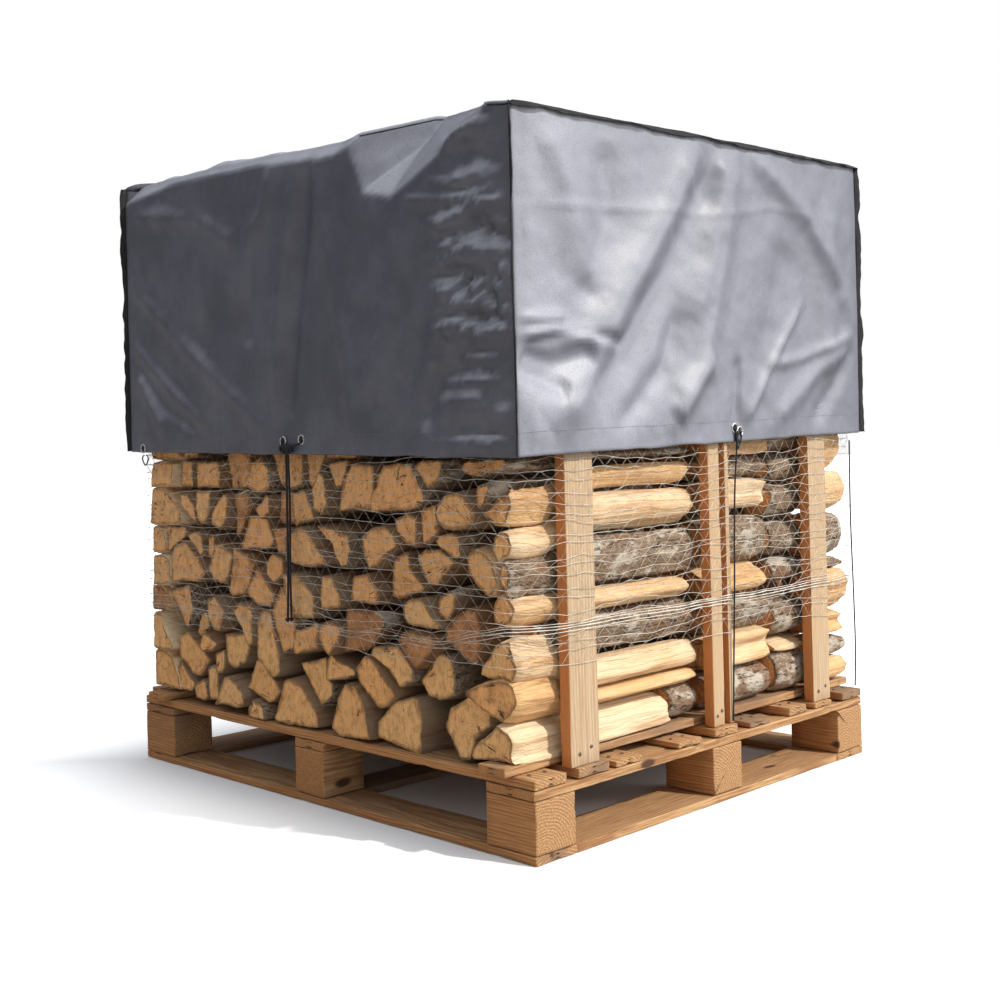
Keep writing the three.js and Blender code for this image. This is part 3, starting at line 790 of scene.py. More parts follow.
# %% [markdown]
# The solids hold the rest: each log there is a prism with two flat ends. Where no outline was measured, the
# prism's own outline is used, cut back from its measured neighbours. Corners that add little are left out,
# which turns a tidy honeycomb into wedges with dark gaps between them.

# %% Flat ends of a course
def spread_of(outline):
    """The area inside an outline that runs anticlockwise."""
    following = np.roll(outline, -1, axis=0)
    return float((outline[:, 0] * following[:, 1] - outline[:, 1] * following[:, 0]).sum() / 2)


def hull(points):
    """The corners of the smallest convex outline round some points, anticlockwise."""
    points = sorted(set(map(tuple, np.round(points, 5).tolist())))
    halves = []
    for ordered in (points, points[::-1]):
        half = []
        for point in ordered:
            while len(half) > 1 and spread_of(np.array([half[-2], half[-1], point])) <= 1e-8:
                half.pop()
            half.append(point)
        halves += half[:-1]
    return np.array(halves)


def ends_of(node):
    """The flat log ends of one course: where each lies along Y, and its outline."""
    mesh = node.data
    ends = {}
    for face in mesh.polygons:
        if abs(face.normal.y) > 0.99:
            facing = 1 if face.normal.y > 0 else -1
            corners = [mesh.vertices[corner].co for corner in face.vertices]
            ends.setdefault((facing, round(face.center.y, 5)), []).extend((co.x, co.z) for co in corners)
    return {key: hull(corners) for key, corners in ends.items() if len(corners) > 2}


# %% Find the logs of the solids
LEAST_PRISM = 0.0008  # in square metres: a smaller flat end is no log


def logs_of(node):
    """Each log of one course: its outline at the front, and where its two ends lie."""
    ends = ends_of(node)
    backs = [(y, outline.mean(axis=0)) for (facing, y), outline in ends.items() if facing > 0]
    logs = []
    for (facing, near), outline in ends.items():
        if facing < 0 and spread_of(outline) > LEAST_PRISM:
            middle = outline.mean(axis=0)
            far = min(backs, key=lambda back: np.linalg.norm(back[1] - middle))[0]
            logs.append((outline, near, far))
    return logs


courses = {name: logs_of(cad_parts[name]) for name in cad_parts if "_logs_" in name}
print({name: len(logs) for name, logs in courses.items()})

# %% Cut an outline to the room it has
GAP = 0.002  # left between a log and its measured neighbour
RAIL_EDGE = 0.4885
RAIL_TOP = 0.1547


def clear_of(outline, other):
    """Cuts an outline back from another one, along the line that leaves most of it."""
    best = np.empty((0, 2))
    for turn in np.linspace(0, 2 * math.pi, 24, endpoint=False):
        normal = np.array([math.cos(turn), math.sin(turn)])
        kept = trimmed(outline, normal, (other @ normal).min() - GAP)
        if len(kept) > 2 and (len(best) == 0 or spread_of(kept) > spread_of(best)):
            best = kept
    return best


def wedge(outline, corners_kept):
    """Leaves out the corners that add least."""
    while len(outline) > corners_kept:
        gains = [spread_of(np.roll(outline, 1 - corner, axis=0)[:3]) for corner in range(len(outline))]
        outline = np.delete(outline, int(np.argmin(gains)), axis=0)
    return outline


def on_rail(outline):
    """Cuts the lowest logs to the room beside or over the rail."""
    side = np.sign(outline[:, 0].mean())
    if (side * outline[:, 0]).max() < RAIL_EDGE or outline[:, 1].min() > RAIL_TOP:
        return outline
    above = trimmed(outline, np.array([0, -1.0]), -RAIL_TOP)
    beside = trimmed(outline, np.array([side, 0]), RAIL_EDGE)
    return above if len(beside) < 3 or spread_of(above) > spread_of(beside) else beside


# %% [markdown]
# A log against the posts shows its whole side between them. One with bark is round there. One without is
# split into two facets or more, because an axe never leaves one flat face that is as tall as the log.

# %% Outlines of logs whose side shows
STACK_EDGE = 0.562
SIDE_DEPTH = 0.084  # how far a log against the posts reaches inward
FLAT_WITHIN = 0.002  # corners this near the outermost one lie on the flat side
PULLED_IN = (0.006, 0.02)
RIDGE_BETWEEN = (0.35, 0.65)
# Half outlines: each corner's way outward and up, as a share of the log's own width and height.
BARKED_ROUND = ((0.0, 0.06), (0.55, 0.0), (0.86, 0.16), (1.0, 0.48), (0.9, 0.84), (0.6, 1.0), (0.0, 0.95))
SPLIT_SIDES = (
    ((0.0, 0.0), (0.94, 0.0), (1.0, 0.34), (0.74, 0.72), (0.5, 1.0), (0.0, 0.93)),
    ((0.0, 0.07), (0.62, 0.0), (0.92, 0.3), (1.0, 0.64), (0.82, 1.0), (0.0, 1.0)),
    ((0.0, 0.0), (0.7, 0.02), (0.95, 0.14), (0.82, 0.56), (0.98, 0.92), (0.6, 1.0), (0.0, 0.96)),
)


def faceted_side(outline, scatter):
    """Gives the flat outer side of a log beside the posts two facets that meet outside."""
    side = np.sign(outline[:, 0].mean())
    flat_from = (side * outline[:, 0]).max() - FLAT_WITHIN
    shaped = []
    for here, following in zip(outline, np.roll(outline, -1, axis=0)):
        flat_ends = [side * x > flat_from for x in (here[0], following[0])]
        shaped.append(here - (side * scatter.uniform(*PULLED_IN), 0) if flat_ends[0] else here)
        if all(flat_ends):
            shaped.append(here + (following - here) * scatter.uniform(*RIDGE_BETWEEN))
    return np.array(shaped)


def side_outline(low, high, bark, scatter):
    """The outline of a log whose side shows: a round one with bark, or one split into facets."""
    shape = np.array(BARKED_ROUND if bark else SPLIT_SIDES[scatter.integers(len(SPLIT_SIDES))])
    shape[1:-1] += scatter.uniform(-0.05, 0.05, (len(shape) - 2, 2))
    reach = STACK_EDGE - scatter.uniform(0.001, 0.012)
    across = reach - SIDE_DEPTH * (1 - np.minimum(shape[:, 0], 1))
    return np.column_stack([across, low + (high - low) * np.clip(shape[:, 1], 0, 1)])


# %% [markdown]
# ## Which log is which
# Every log now goes on one list, with its outline, its two ends, its tone and what is known of its bark.
# The measured logs come first. Those that also show their side keep the measured end at the front, but
# take the height and the bark of the side that the picture shows behind the first post.

# %% The measured logs
COURSE_TOPS = (0.25, 0.378, 0.512, 0.662, 0.935)
# Heights from and to of the side, where the log ends, whether it has bark, and its tone.
BODIES = {
    "R3": (154, 213, -88, False, -0.7),
    "R6": (219, 249, -20, False, 0.5),
    "P3": (252, 304, -12, False, -0.4),
    "P6": (381, 424, -30, False, 0.1),
    "P12": (430, 514, -8, True, 0.2),
    "P13": (519, 590, -14, False, -0.3),
    "P18": (595, 637, -30, False, 0.6),
    "P20": (641, 664, -20, True, 0.6),
}


def front_course(outline):
    """The course of the solids that a front log belongs to, by its height."""
    height = outline[:, 1].mean()
    return f"front_logs_course_{sum(height > top for top in COURSE_TOPS) + 1}"


def add_log(node, outline, near, far, tone, **known):
    """Puts a log on the list. Its ends are near and far along Y."""
    logs.append({"node": node, "outline": outline, "near": near, "far": far, "tone": tone, **known})


scatter = np.random.default_rng(23)
logs = []
front_cells = [log for name, found in courses.items() if name.startswith("front") for log in found]
for name, outline in measured.items():
    middle = outline.mean(axis=0)
    _, near, far = min(front_cells, key=lambda cell: np.linalg.norm(cell[0].mean(axis=0) - middle))
    near += SET_BACK.get(name, 0)
    for side in (-1.0, 1.0):
        outline = trimmed(outline, np.array([side, 0]), STACK_EDGE)
    tone = tone_of(name, outline, scatter)
    known = {"measured": True}
    if name[0] == LEFT_COLUMN:
        known.update(bark=False, shaped=True)
    if name in BODIES:
        low, high, far, known["bark"], tone = BODIES[name]
        far *= MM
        known["body"] = (low * MM, high * MM)
    add_log(front_course(outline), outline, near, far, tone, **known)
print(len(logs), "logs with a measured end")

# %% [markdown]
# Behind the right posts more logs show only their sides: two in the front tier, whose ends are hidden, and
# three stacks of short pieces in the back tier. They were read off the picture from the ground up.

# %% The logs that show only their side
# Heights from and to, where each starts and ends, bark and tone.
SET_IN = [(309, 379, -425, -6, True, 0.3), (155, 222, -84, -8, True, 0.5)]
# Stack by stack: heights from and to, bark and tone.
SHORT_LOGS = {
    "1": [(155, 225, True, 0.7), (228, 295, False, 0.1), (299, 357, True, 0), (377, 427, False, 0.35),
          (430, 521, True, -0.2), (538, 590, False, -0.4), (597, 641, True, 0), (645, 700, False, 0.5)],
    "2": [(155, 239, True, 0.5), (243, 264, False, -0.3), (268, 346, True, 0.6), (379, 430, True, 0.9),
          (433, 505, True, -0.3), (509, 579, True, 0.1), (586, 641, True, 0), (645, 700, True, 0.4)],
    "3": [(155, 204, False, 0.4), (207, 251, True, 0.5), (255, 301, False, 0.7), (305, 389, False, 0.4),
          (393, 416, True, 0.2), (420, 512, True, 0.1), (516, 598, False, 0.1), (603, 700, False, 0.5)],
}
OVERHANG = 0.012  # how far the last stack hangs out beyond the others

for low, high, near, far, bark, tone in SET_IN:
    outline = side_outline(low * MM, high * MM, bark, scatter)
    add_log(front_course(outline), outline, near * MM, far * MM, tone, bark=bark, shaped=True)
for stack, pile in SHORT_LOGS.items():
    node = "back_right_logs_" + stack
    further = OVERHANG if stack == "3" else 0
    first = min(log[1] for log in courses[node])
    last = max(log[2] for log in courses[node]) + further
    for low, high, bark, tone in pile:
        outline = side_outline(low * MM, high * MM, bark, scatter) + (further, 0)
        near = first + scatter.uniform(0, 0.004)
        far = last - scatter.uniform(0, 0.012)
        add_log(node, outline, near, far, tone, bark=bark, shaped=True)
print(len(logs), "logs with those that show their side")

# %% The logs of the solids
UNDER_PATCH = 1.09  # logs that reach higher lie further in, under the leaning cloth
FURTHER_IN = 0.07
EDGE_LOG = 0.48  # logs further out than this lie against the posts
SIDE_COLUMN = 0.47  # logs further out than this show their side between the posts
FIRST_HIDDEN = 0.705  # the logs against the right posts above this height are those of the solids
NEIGHBOUR = 0.16
LEAST_LOG = 0.0014  # in square metres: what must be left of an outline
LEAST_SHARE = 0.42


def room_left(node, outline):
    """What the measured logs leave of a prism's outline, or None where no log is to be added."""
    at_front = node.startswith("front")
    middle = outline.mean(axis=0)
    top = outline[:, 1].max()
    if node.startswith("back_right") and top < FIRST_HIDDEN + 0.1:
        return None
    if at_front and middle[0] > EDGE_LOG and top < FIRST_HIDDEN:
        return None
    least = max(LEAST_LOG, LEAST_SHARE * spread_of(outline))
    for other in measured.values() if at_front else ():
        if len(outline) > 2 and np.linalg.norm(other.mean(axis=0) - middle) < NEIGHBOUR:
            outline = clear_of(outline, other)
    if len(outline) < 3 or spread_of(outline) < least:
        return None
    across, up = outline.mean(axis=0) / MM
    in_gap = at_front and any(a < across < b and c < up < d for a, b, c, d in VOIDS)
    return None if in_gap else outline


for node, found in courses.items():
    for outline, near, far in found:
        outline = room_left(node, outline)
        if outline is None:
            continue
        if node.startswith("front"):
            near += FURTHER_IN if outline[:, 1].max() > UNDER_PATCH else scatter.uniform(0.002, 0.014)
        # Random tones in a darker range than the measured ends: partly painted shade of these deeper-set
        # logs.
        tone = scatter.uniform(-0.3, 0.9)
        if abs(outline[:, 0].mean()) < SIDE_COLUMN and scatter.random() < 0.8:
            outline = wedge(outline, scatter.integers(4, 7))
        add_log(node, outline, near, far, tone)
print(len(logs), "logs to make")

# %% [markdown]
# ## The surfaces of a log
# A log has three surfaces, and each gets its own finish. The sawn end shows arcs round the heart, fine
# lines from the saw, and cracks that run out from the heart where the wood has dried. A picture of real
# ends would repeat from log to log, so these are drawn by noise that starts elsewhere for each one.

# %% The finish of a sawn log end
def sawn_end():
    end = Finish("log_end", Roughness=0.85)
    grain = end.mark("grain", "Vector")
    tone = end.mark("tone")
    across, upward, along = end.apart(grain)
    heart_away = (across**2 + upward**2) ** 0.5
    sway = end.noise(grain * (16.0, 16.0, 2.0), 1.0, 3.0)
    rings = end.wave((heart_away + sway * 0.016) * 1300.0)
    blotches = end.noise(grain * (34.0, 34.0, 9.0), 1.0, 4.0, 0.6)
    saw = end.noise(grain * (560.0, 34.0, 9.0), 1.0, 3.0, 0.6)
    angle = end.node("ShaderNodeMath", {"operation": "ARCTAN2"}, {0: upward, 1: across})
    spokes = end.node("ShaderNodeCombineXYZ", {}, {0: angle * 4.2, 1: heart_away * 9.0, 2: along * 3.0})
    crack_field = end.noise(spokes, 1.0, 2.0, 0.5)
    cracks = end.fade(abs(crack_field - 0.5), 0.013, 0.004) * end.fade(blotches, 0.5, 0.62)
    shaded = tone * 0.5 + blotches * 0.9 + 0.05
    body = end.mix(end.fade(shaded, 0.1, 0.62), shade(255, 200, 133), shade(254, 188, 119))
    body = end.mix(end.fade(shaded, 0.62, 1.05), body, shade(178, 124, 80))
    body = end.mix(end.fade(saw, 0.42, 0.72) * 0.42, body, shade(176, 118, 72))
    body = end.mix(end.fade(rings, -0.2, 1.0) * 0.16, body, shade(160, 102, 56))
    torn = end.noise(grain * (85.0, 60.0, 9.0), 1.0, 3.0, 0.7)
    body = end.mix(end.fade(torn, 0.46, 0.66) * 0.4, body, shade(158, 100, 58))
    rim = end.mark("rim")
    # The dark band at the edge of each end is partly bark and partly painted shade of the gaps between logs.
    body = end.mix(end.fade(rim + (blotches - 0.5) * 0.7, 0.62, 1.0) * 0.6, body, shade(96, 58, 32))
    body = end.mix(cracks, body, shade(52, 34, 22))
    end.bump(saw * 0.6 + blotches * 1.3 + torn * 1.2 - cracks * 1.2 + rings * 0.06, 0.0034)
    return end.paint(Base_Color=body)


# %% [markdown]
# The split sides show long fibres, so their noise is drawn out along the grain. Inside the stack they are
# darker than at its sides, because little light gets in between the logs.

# %% The finish of a split side
def split_side():
    side = Finish("split_side", Roughness=0.82)
    grain = side.mark("grain", "Vector")
    tone = side.mark("tone")
    fibres = side.noise(grain * (230.0, 230.0, 7.0), 1.0, 5.0, 0.68)
    bands = side.noise(grain * (52.0, 52.0, 3.4), 1.0, 4.0, 0.6)
    blotches = side.noise(grain * (15.0, 15.0, 7.0), 1.0, 4.0, 0.6)
    splinters = side.noise(grain * (760.0, 760.0, 20.0), 1.0, 2.0, 0.6)
    shaded = tone * 0.34 + blotches * 0.9
    body = side.mix(side.fade(shaded, 0.12, 0.66), shade(248, 224, 186), shade(234, 188, 132))
    body = side.mix(side.fade(shaded, 0.62, 1.0), body, shade(160, 110, 72))
    body = side.mix(side.fade(bands, 0.5, 0.7) * 0.75, body, shade(184, 126, 76))
    body = side.mix(side.fade(fibres, 0.56, 0.78) * 0.75, body, shade(118, 78, 46))
    body = side.mix(side.mark("inner") * 0.74, body, shade(92, 54, 30))
    side.bump(fibres * 1.3 + bands * 1.5 + splinters * 0.25, 0.0048)
    return side.paint(Base_Color=body)


# %% [markdown]
# The bark is grey-brown, furrowed along the trunk, with paler patches where the outer layer has come off.
# One noise bends another here, because furrows wander and join.

# %% The finish of bark
def rough_bark():
    bark = Finish("bark", Roughness=0.92)
    grain = bark.mark("grain", "Vector")
    tone = bark.mark("tone")
    warp = bark.noise(grain * (46.0, 46.0, 20.0), 1.0, 3.0)
    flakes = bark.noise(grain * (240.0, 240.0, 90.0) + warp * 2.0, 1.0, 5.0, 0.72)
    ribs = bark.noise(grain * (120.0, 120.0, 17.0) + warp * 3.0, 1.0, 4.0, 0.62)
    furrows = bark.fade(ribs + flakes * 0.25, 0.56, 0.44)
    patches = bark.noise(grain * (24.0, 24.0, 15.0), 1.0, 5.0, 0.66)
    body = bark.mix(bark.fade(flakes, 0.3, 0.7), shade(98, 78, 61), shade(160, 138, 115))
    body = bark.mix(bark.fade(patches + tone * 0.08, 0.53, 0.64) * 0.7, body, shade(206, 196, 180))
    body = bark.mix(bark.fade(patches - tone * 0.1, 0.44, 0.32) * 0.5, body, shade(132, 88, 54))
    body = bark.mix(furrows * 0.85, body, shade(44, 32, 25))
    bark.bump(flakes * 0.7 - furrows * 0.8 + patches * 0.5, 0.0042)
    return bark.paint(Base_Color=body)


LOG_FINISHES = [split_side(), rough_bark(), sawn_end()]

# %% [markdown]
# ## The shape of a log
# One log is its outline, rounded and roughened, and drawn out along the grain. Splitting tears the fibres
# into long shallow waves, and bark is furrowed. Only the logs beside the posts show their sides, so they
# get finer steps than the hidden ones, which keeps the mesh small.

# %% The heart and the facets
BARKED_HEART = 0.03  # how far inward from its middle a barked log has its heart
RIDGE_TURN = 900
FACET_WIDE, FACET_DEEP = 0.05, 0.034


def heart_of(outline, side, barked):
    """Where the heart of the trunk lay, beside the sharpest corner of the wedge."""
    middle = outline.mean(axis=0)
    if barked:
        return middle - (side * BARKED_HEART, 0)
    before = np.roll(outline, 1, axis=0) - outline
    after = np.roll(outline, -1, axis=0) - outline
    lengths = np.linalg.norm(before, axis=1) * np.linalg.norm(after, axis=1)
    sharpest = int(np.argmax((before * after).sum(axis=1) / lengths))
    return outline[sharpest] + 0.1 * (middle - outline[sharpest])


def draw_in(rings, side):
    """Splits the flat outer side of a log into two facets that meet in a ridge, away from its front end."""
    heights = rings[:, :, 1]
    share = (heights - heights.min()) / (heights.max() - heights.min())
    ridge = 0.5 + 0.3 * math.sin(RIDGE_TURN * heights.min())
    beyond = np.where(share > ridge, (share - ridge) / (1 - ridge), (ridge - share) / ridge)
    outer = np.clip((side * rings[:, :, 0] - STACK_EDGE) / FACET_WIDE + 1.2, 0, 1)
    behind = np.clip((rings[:, :, 2].max() - rings[:, :, 2]) / 0.05, 0, 1)
    rings[:, :, 0] -= side * FACET_DEEP * beyond**1.3 * outer * behind


# %% Make one log
COVERED = 0.73
BEND = (0.43, 0.3)  # between these distances in front of the middle, a log against the posts changes height
SWELL = 0.005  # how much thicker a log is away from its ends, which closes the gaps between the rows
SHRUNK = (0.955, 0.985)  # the share that is left of an outline from the solids
RIM_SHARES = (0, 0.35, 0.85)  # how much a ring belongs to the rim, from the middle of a sawn end outward


def steps_of(middle):
    """The steps round a log and along it: finer where the log shows."""
    shows = middle[1] < COVERED
    if shows and abs(middle[0]) > SIDE_COLUMN:
        return (0.0055, 0.013) if middle[0] > 0 else (0.007, 0.022)
    return (0.008, 0.05) if shows else (0.016, 0.12)


def log_skin(log, scatter):
    """Points, faces, finishes and marks of one log."""
    outline = on_rail(log["outline"])
    shrunk = 1 if "measured" in log else scatter.uniform(*SHRUNK)
    outline = outline.mean(axis=0) + (outline - outline.mean(axis=0)) * shrunk
    middle = outline.mean(axis=0)
    at_side = abs(middle[0]) > SIDE_COLUMN
    side = np.sign(middle[0])
    barked = log.get("bark", at_side and scatter.random() < 0.4)
    if at_side and "shaped" not in log:
        outline = faceted_side(outline, scatter)
    heart = heart_of(outline, side, barked)
    step, stride = steps_of(middle)
    outline = rounded(outline, 0.016 if barked else scatter.uniform(0.003, 0.007), step)
    reach = np.linalg.norm(outline - heart, axis=1)
    if barked:
        bark = side * (outline[:, 0] - middle[0]) > -0.012
    else:
        bark = (reach > 0.84 * reach.max()) & (scatter.random() < 0.4) & (not at_side)
    drift = scatter.uniform(-40, 40, 3)
    ends = (-log["far"], -log["near"])

    def roughen(rings):
        torn = uneven(rings + drift, 0.013, 12.0, octaves=4)
        waved = uneven(rings - drift, 0.05, 5.0, octaves=2)
        furrowed = -np.abs(uneven(rings + drift, 0.012, 3.0, octaves=3))
        from_end = np.minimum(rings[:, :, 2] - ends[0], ends[1] - rings[:, :, 2])
        swell = SWELL * np.clip(from_end / 0.025, 0, 1)
        rough = np.where(bark, 0.003 * furrowed + 0.002 * waved, 0.0024 * torn + 0.0024 * waved)
        return rough + swell - 0.0008

    tilt = scatter.uniform(-0.09, 0.09, 2)
    bow = scatter.uniform(-0.002, 0.002, 2)
    rings = sawn_length(outline, *ends, stride, roughen, tilt, bow)
    if at_side and side < 0:
        draw_in(rings, side)
    if "body" in log:
        heights = rings[:, :, 1]
        behind = np.clip((BEND[0] - rings[:, :, 2]) / (BEND[0] - BEND[1]), 0, 1)
        changed = np.interp(heights, (heights.min(), heights.max()), log["body"])
        rings[:, :, 1] += eased(behind) * (changed - heights)
    points, faces, kind = skin_of(rings, bark)
    grain = points - (*heart, 0) + (0, 0, scatter.uniform(-30, 30))
    rim = np.ones(rings.shape[:2])
    for ring, share in enumerate(RIM_SHARES):
        rim[[ring, -1 - ring]] = share
    same = np.ones(len(points))
    marks = {"grain": grain, "tone": same * log["tone"], "rim": np.append(rim.ravel(), [0, 0])}
    marks["inner"] = same * (not at_side)
    return points[:, [0, 2, 1]] * (1, -1, 1), faces, kind, marks


# %% All the logs, course by course
LOG_MARKS = ("grain", "tone", "rim", "inner")

scatter = np.random.default_rng(5)
triangles = 0
for node in courses:
    pile = [log_skin(log, scatter) for log in logs if log["node"] == node]
    points, faces = together(pile)
    kind = np.concatenate([skin[2] for skin in pile])
    marks = {mark: np.concatenate([skin[3][mark] for skin in pile]) for mark in LOG_MARKS}
    make_piece(node + "_split", points, faces, LOG_FINISHES, "split_log", [node], kind, marks)
    triangles += sum(len(face) - 2 for face in faces)
print(triangles, "triangles of firewood")

# %% [markdown]
# ## The cover
# The cover is a box of coated cloth, sewn from a top and four walls, with a turned-in hem. It could be
# draped by a cloth simulation, but then its folds would fall anywhere. This one's folds are known from
# the picture: a pull runs down to the front tie, long ridges cross the right side, and small puckers
# gather at the corner seam. So each fold is a line on the wall with a width and a depth, and the wall is
# pushed in or out by the sum of them all.

# %% Folds of the front and the right side
# Each fold is its depth and width, then the stops of its line, in millimetres across and up.
FRONT_FOLDS = [
    (-8, 26, (67, 1226), (45, 1063), (8, 874), (-20, 690)),
    (5, 20, (39, 1207), (-10, 1021), (-37, 877), (-32, 710)),
    (6, 20, (94, 1217), (113, 1101), (146, 981), (180, 816), (194, 705)),
    (5, 26, (-35, 1224), (-55, 1148), (-118, 1072), (-168, 936)),
    (-5, 22, (-99, 1100), (-131, 983), (-136, 873)),
    (4, 20, (-570, 1035), (-387, 910), (-65, 706)),
    (4, 16, (-576, 912), (-403, 793), (-270, 715)),
    (-4, 15, (-578, 879), (-455, 773), (-308, 716)),
    (4, 14, (-558, 838), (-457, 719)),
    (-6, 24, (571, 836), (443, 802), (368, 706)),
    (3, 8, (336, 1100), (602, 1062)),
    (4, 20, (-560, 1190), (-300, 1150), (-160, 1080)),
    (-4, 30, (-330, 1190), (-345, 1000), (-300, 860)),
    (5, 34, (330, 1060), (300, 900), (240, 760)),
    (-4, 24, (420, 1020), (400, 880), (330, 760)),
]
RIGHT_FOLDS = [
    (1, 6, (-510, 1061), (-126, 1087), (35, 1095), (195, 1125), (324, 1119)),
    (4, 9, (-516, 876), (-409, 885)),
    (-4, 9, (-518, 839), (-380, 858), (-237, 844)),
    (16, 48, (-35, 1217), (-119, 1088), (-253, 936), (-320, 838), (-366, 763), (-456, 700)),
    (-12, 45, (12, 1192), (-60, 1102), (-146, 972), (-262, 831), (-400, 727)),
    (6, 26, (44, 1223), (22, 1110), (-14, 1006), (-70, 890)),
    (8, 32, (78, 1219), (49, 1078), (-3, 919), (-52, 806), (-134, 709)),
    (7, 27, (110, 1228), (223, 1171), (324, 1114), (393, 1040), (482, 918)),
    (6, 22, (490, 867), (355, 813), (185, 701)),
    (-6, 22, (490, 872), (429, 789), (332, 704)),
    (4, 11, (491, 888), (285, 832), (182, 815)),
    (4, 10, (299, 945), (182, 815), (96, 706)),
    (6, 12, (-518, 845), (-439, 858), (-338, 851)),
    (-8, 22, (-512, 815), (-429, 806), (-339, 826)),
    (-7, 22, (-519, 806), (-407, 758)),
    (7, 24, (-127, 709), (-53, 792), (-7, 825)),
    (-6, 22, (-275, 706), (-221, 743), (-151, 804), (-98, 915)),
    (-5, 12, (68, 693), (74, 831)),
    (6, 38, (-440, 1200), (-380, 1060), (-330, 930)),
    (-6, 38, (-300, 1190), (-290, 1060), (-370, 900)),
    (-5, 48, (260, 1060), (200, 920), (120, 790)),
    (6, 42, (420, 1160), (380, 980), (400, 800)),
]
# Puckers gather along the corner seam at the right of the front: how high, how long and how deep.
PUCKERS = [
    (1160, 90, 5), (1118, 70, 4), (1066, 125, 7), (1020, 50, 3), (984, 110, 7), (950, 60, 4), (912, 40, 3),
    (880, 120, 8), (846, 150, 8), (816, 60, 5), (786, 40, 3), (752, 74, 5), (712, 50, 3), (690, 90, 4),
]
# Above these lines the front leans back and catches the sun.
LEANING_PATCH = ((186, 1226), (232, 1126), (312, 1106), (608, 1236))
# Along the rest of the front's top edge the cloth leans back too, but in a thin strip: along x, how far down.
EDGE_LEAN = (
    (-600, 34), (-480, 22), (-380, 10), (-250, 12), (-100, 12), (20, 22), (150, 26), (204, 14), (230, 0),
)
LEAN = 0.95
SOFT_START = 0.008

# %% [markdown]
# The walls are rows of points that all go round the stack in the same way, so one row of places and
# outward directions serves for every height. The top and the hem slope a little with the logs under them,
# and their heights are read from the solid cover at its four corners.

# %% The wall as a path round the stack
cover_points = np.array([vertex.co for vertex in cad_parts["cover"].data.vertices])
COVER_HALF = cover_points.max(axis=0)[:2]
CORNER_ROUND = 0.0035
CORNER_SHARES = (0.25, 0.5, 0.75)


def ways_of(side):
    """The way along a side and the way out of it. The sides are counted from the front, anticlockwise."""
    turn = side * math.pi / 2
    return np.array([math.cos(turn), math.sin(turn)]), np.array([math.sin(turn), -math.cos(turn)])


def corner_height(pick, x, y):
    """The height of the cover's top or hem anywhere, from its heights at the four corners."""
    across, back = (x / COVER_HALF[0] + 1) / 2, (y / COVER_HALF[1] + 1) / 2
    heights = {}
    for corner in ((0, 0), (1, 0), (0, 1), (1, 1)):
        place = COVER_HALF * (2 * np.array(corner) - 1)
        near = (np.abs(cover_points[:, :2] - place) < 0.003).all(axis=1)
        heights[corner] = pick(cover_points[near, 2])
    front = heights[0, 0] * (1 - across) + heights[1, 0] * across
    rear = heights[0, 1] * (1 - across) + heights[1, 1] * across
    return front * (1 - back) + rear * back


def wall_path(steps):
    """Places and outward directions round the cover, anticlockwise from the front left corner."""
    places, outward = [], []
    for side, step in enumerate(steps):
        ahead, facing = ways_of(side)
        reach, depth = (COVER_HALF if side % 2 == 0 else COVER_HALF[::-1]) - CORNER_ROUND
        for along in np.linspace(-reach, reach, round(2 * reach / step)):
            places.append(along * ahead + depth * facing)
            outward.append(facing)
        for share in CORNER_SHARES:
            places.append(reach * ahead + depth * facing)
            outward.append(facing * math.cos(share * math.pi / 2) + ahead * math.sin(share * math.pi / 2))
    outward = np.array(outward)
    return np.array(places) + CORNER_ROUND * outward, outward


# %% [markdown]
# A fold in hanging cloth has a rounded crest and slack flanks, and it runs out at both ends. So its push
# falls away like a bell to each side of its line. Where the front leans back, the push grows with the
# height above a line instead.

# %% How far one fold pushes each place
def fold_push(places, depth, width, *stops):
    """A rounded crest with a slack flank, which runs out at its ends."""
    stops = np.array(stops) * MM
    reach = reach_along(stops)
    reach = reach / reach[-1]
    away, share = np.full(len(places), np.inf), np.zeros(len(places))
    for start, end, low, high in zip(stops, stops[1:], reach, reach[1:]):
        leg = end - start
        along = np.clip((places - start) @ leg / (leg @ leg), 0, 1)
        here = np.linalg.norm(places - start - along[:, None] * leg, axis=1)
        share = np.where(here < away, low + along * (high - low), share)
        away = np.minimum(here, away)
    swell = np.minimum(1, 0.25 + np.minimum(share, 1 - share) / 0.15)
    spread = away / (width * MM)
    return depth * MM * swell * (0.8 * np.exp(-(spread**2)) + 0.2 * np.exp(-spread))


def lean_push(places):
    """The patch that leans back: the higher above all its lines, the further in."""
    stops = np.array(LEANING_PATCH) * MM
    rises = []
    for start, end in zip(stops, stops[1:]):
        across, up = end - start
        rises.append((places - start) @ np.array([-up, across]) / math.hypot(across, up))
    rise = np.maximum(0, np.min(rises, axis=0))
    return -LEAN * rise * rise / (rise + SOFT_START)


def edge_lean(x, z):
    """The thin strip under the top edge that leans back too."""
    stops, drops = np.array(EDGE_LEAN).T * MM
    start = corner_height(max, x, -COVER_HALF[1] + 0 * x) - np.interp(x, stops, drops)
    return -LEAN * np.maximum(0, z - start) * (x < stops[-1])


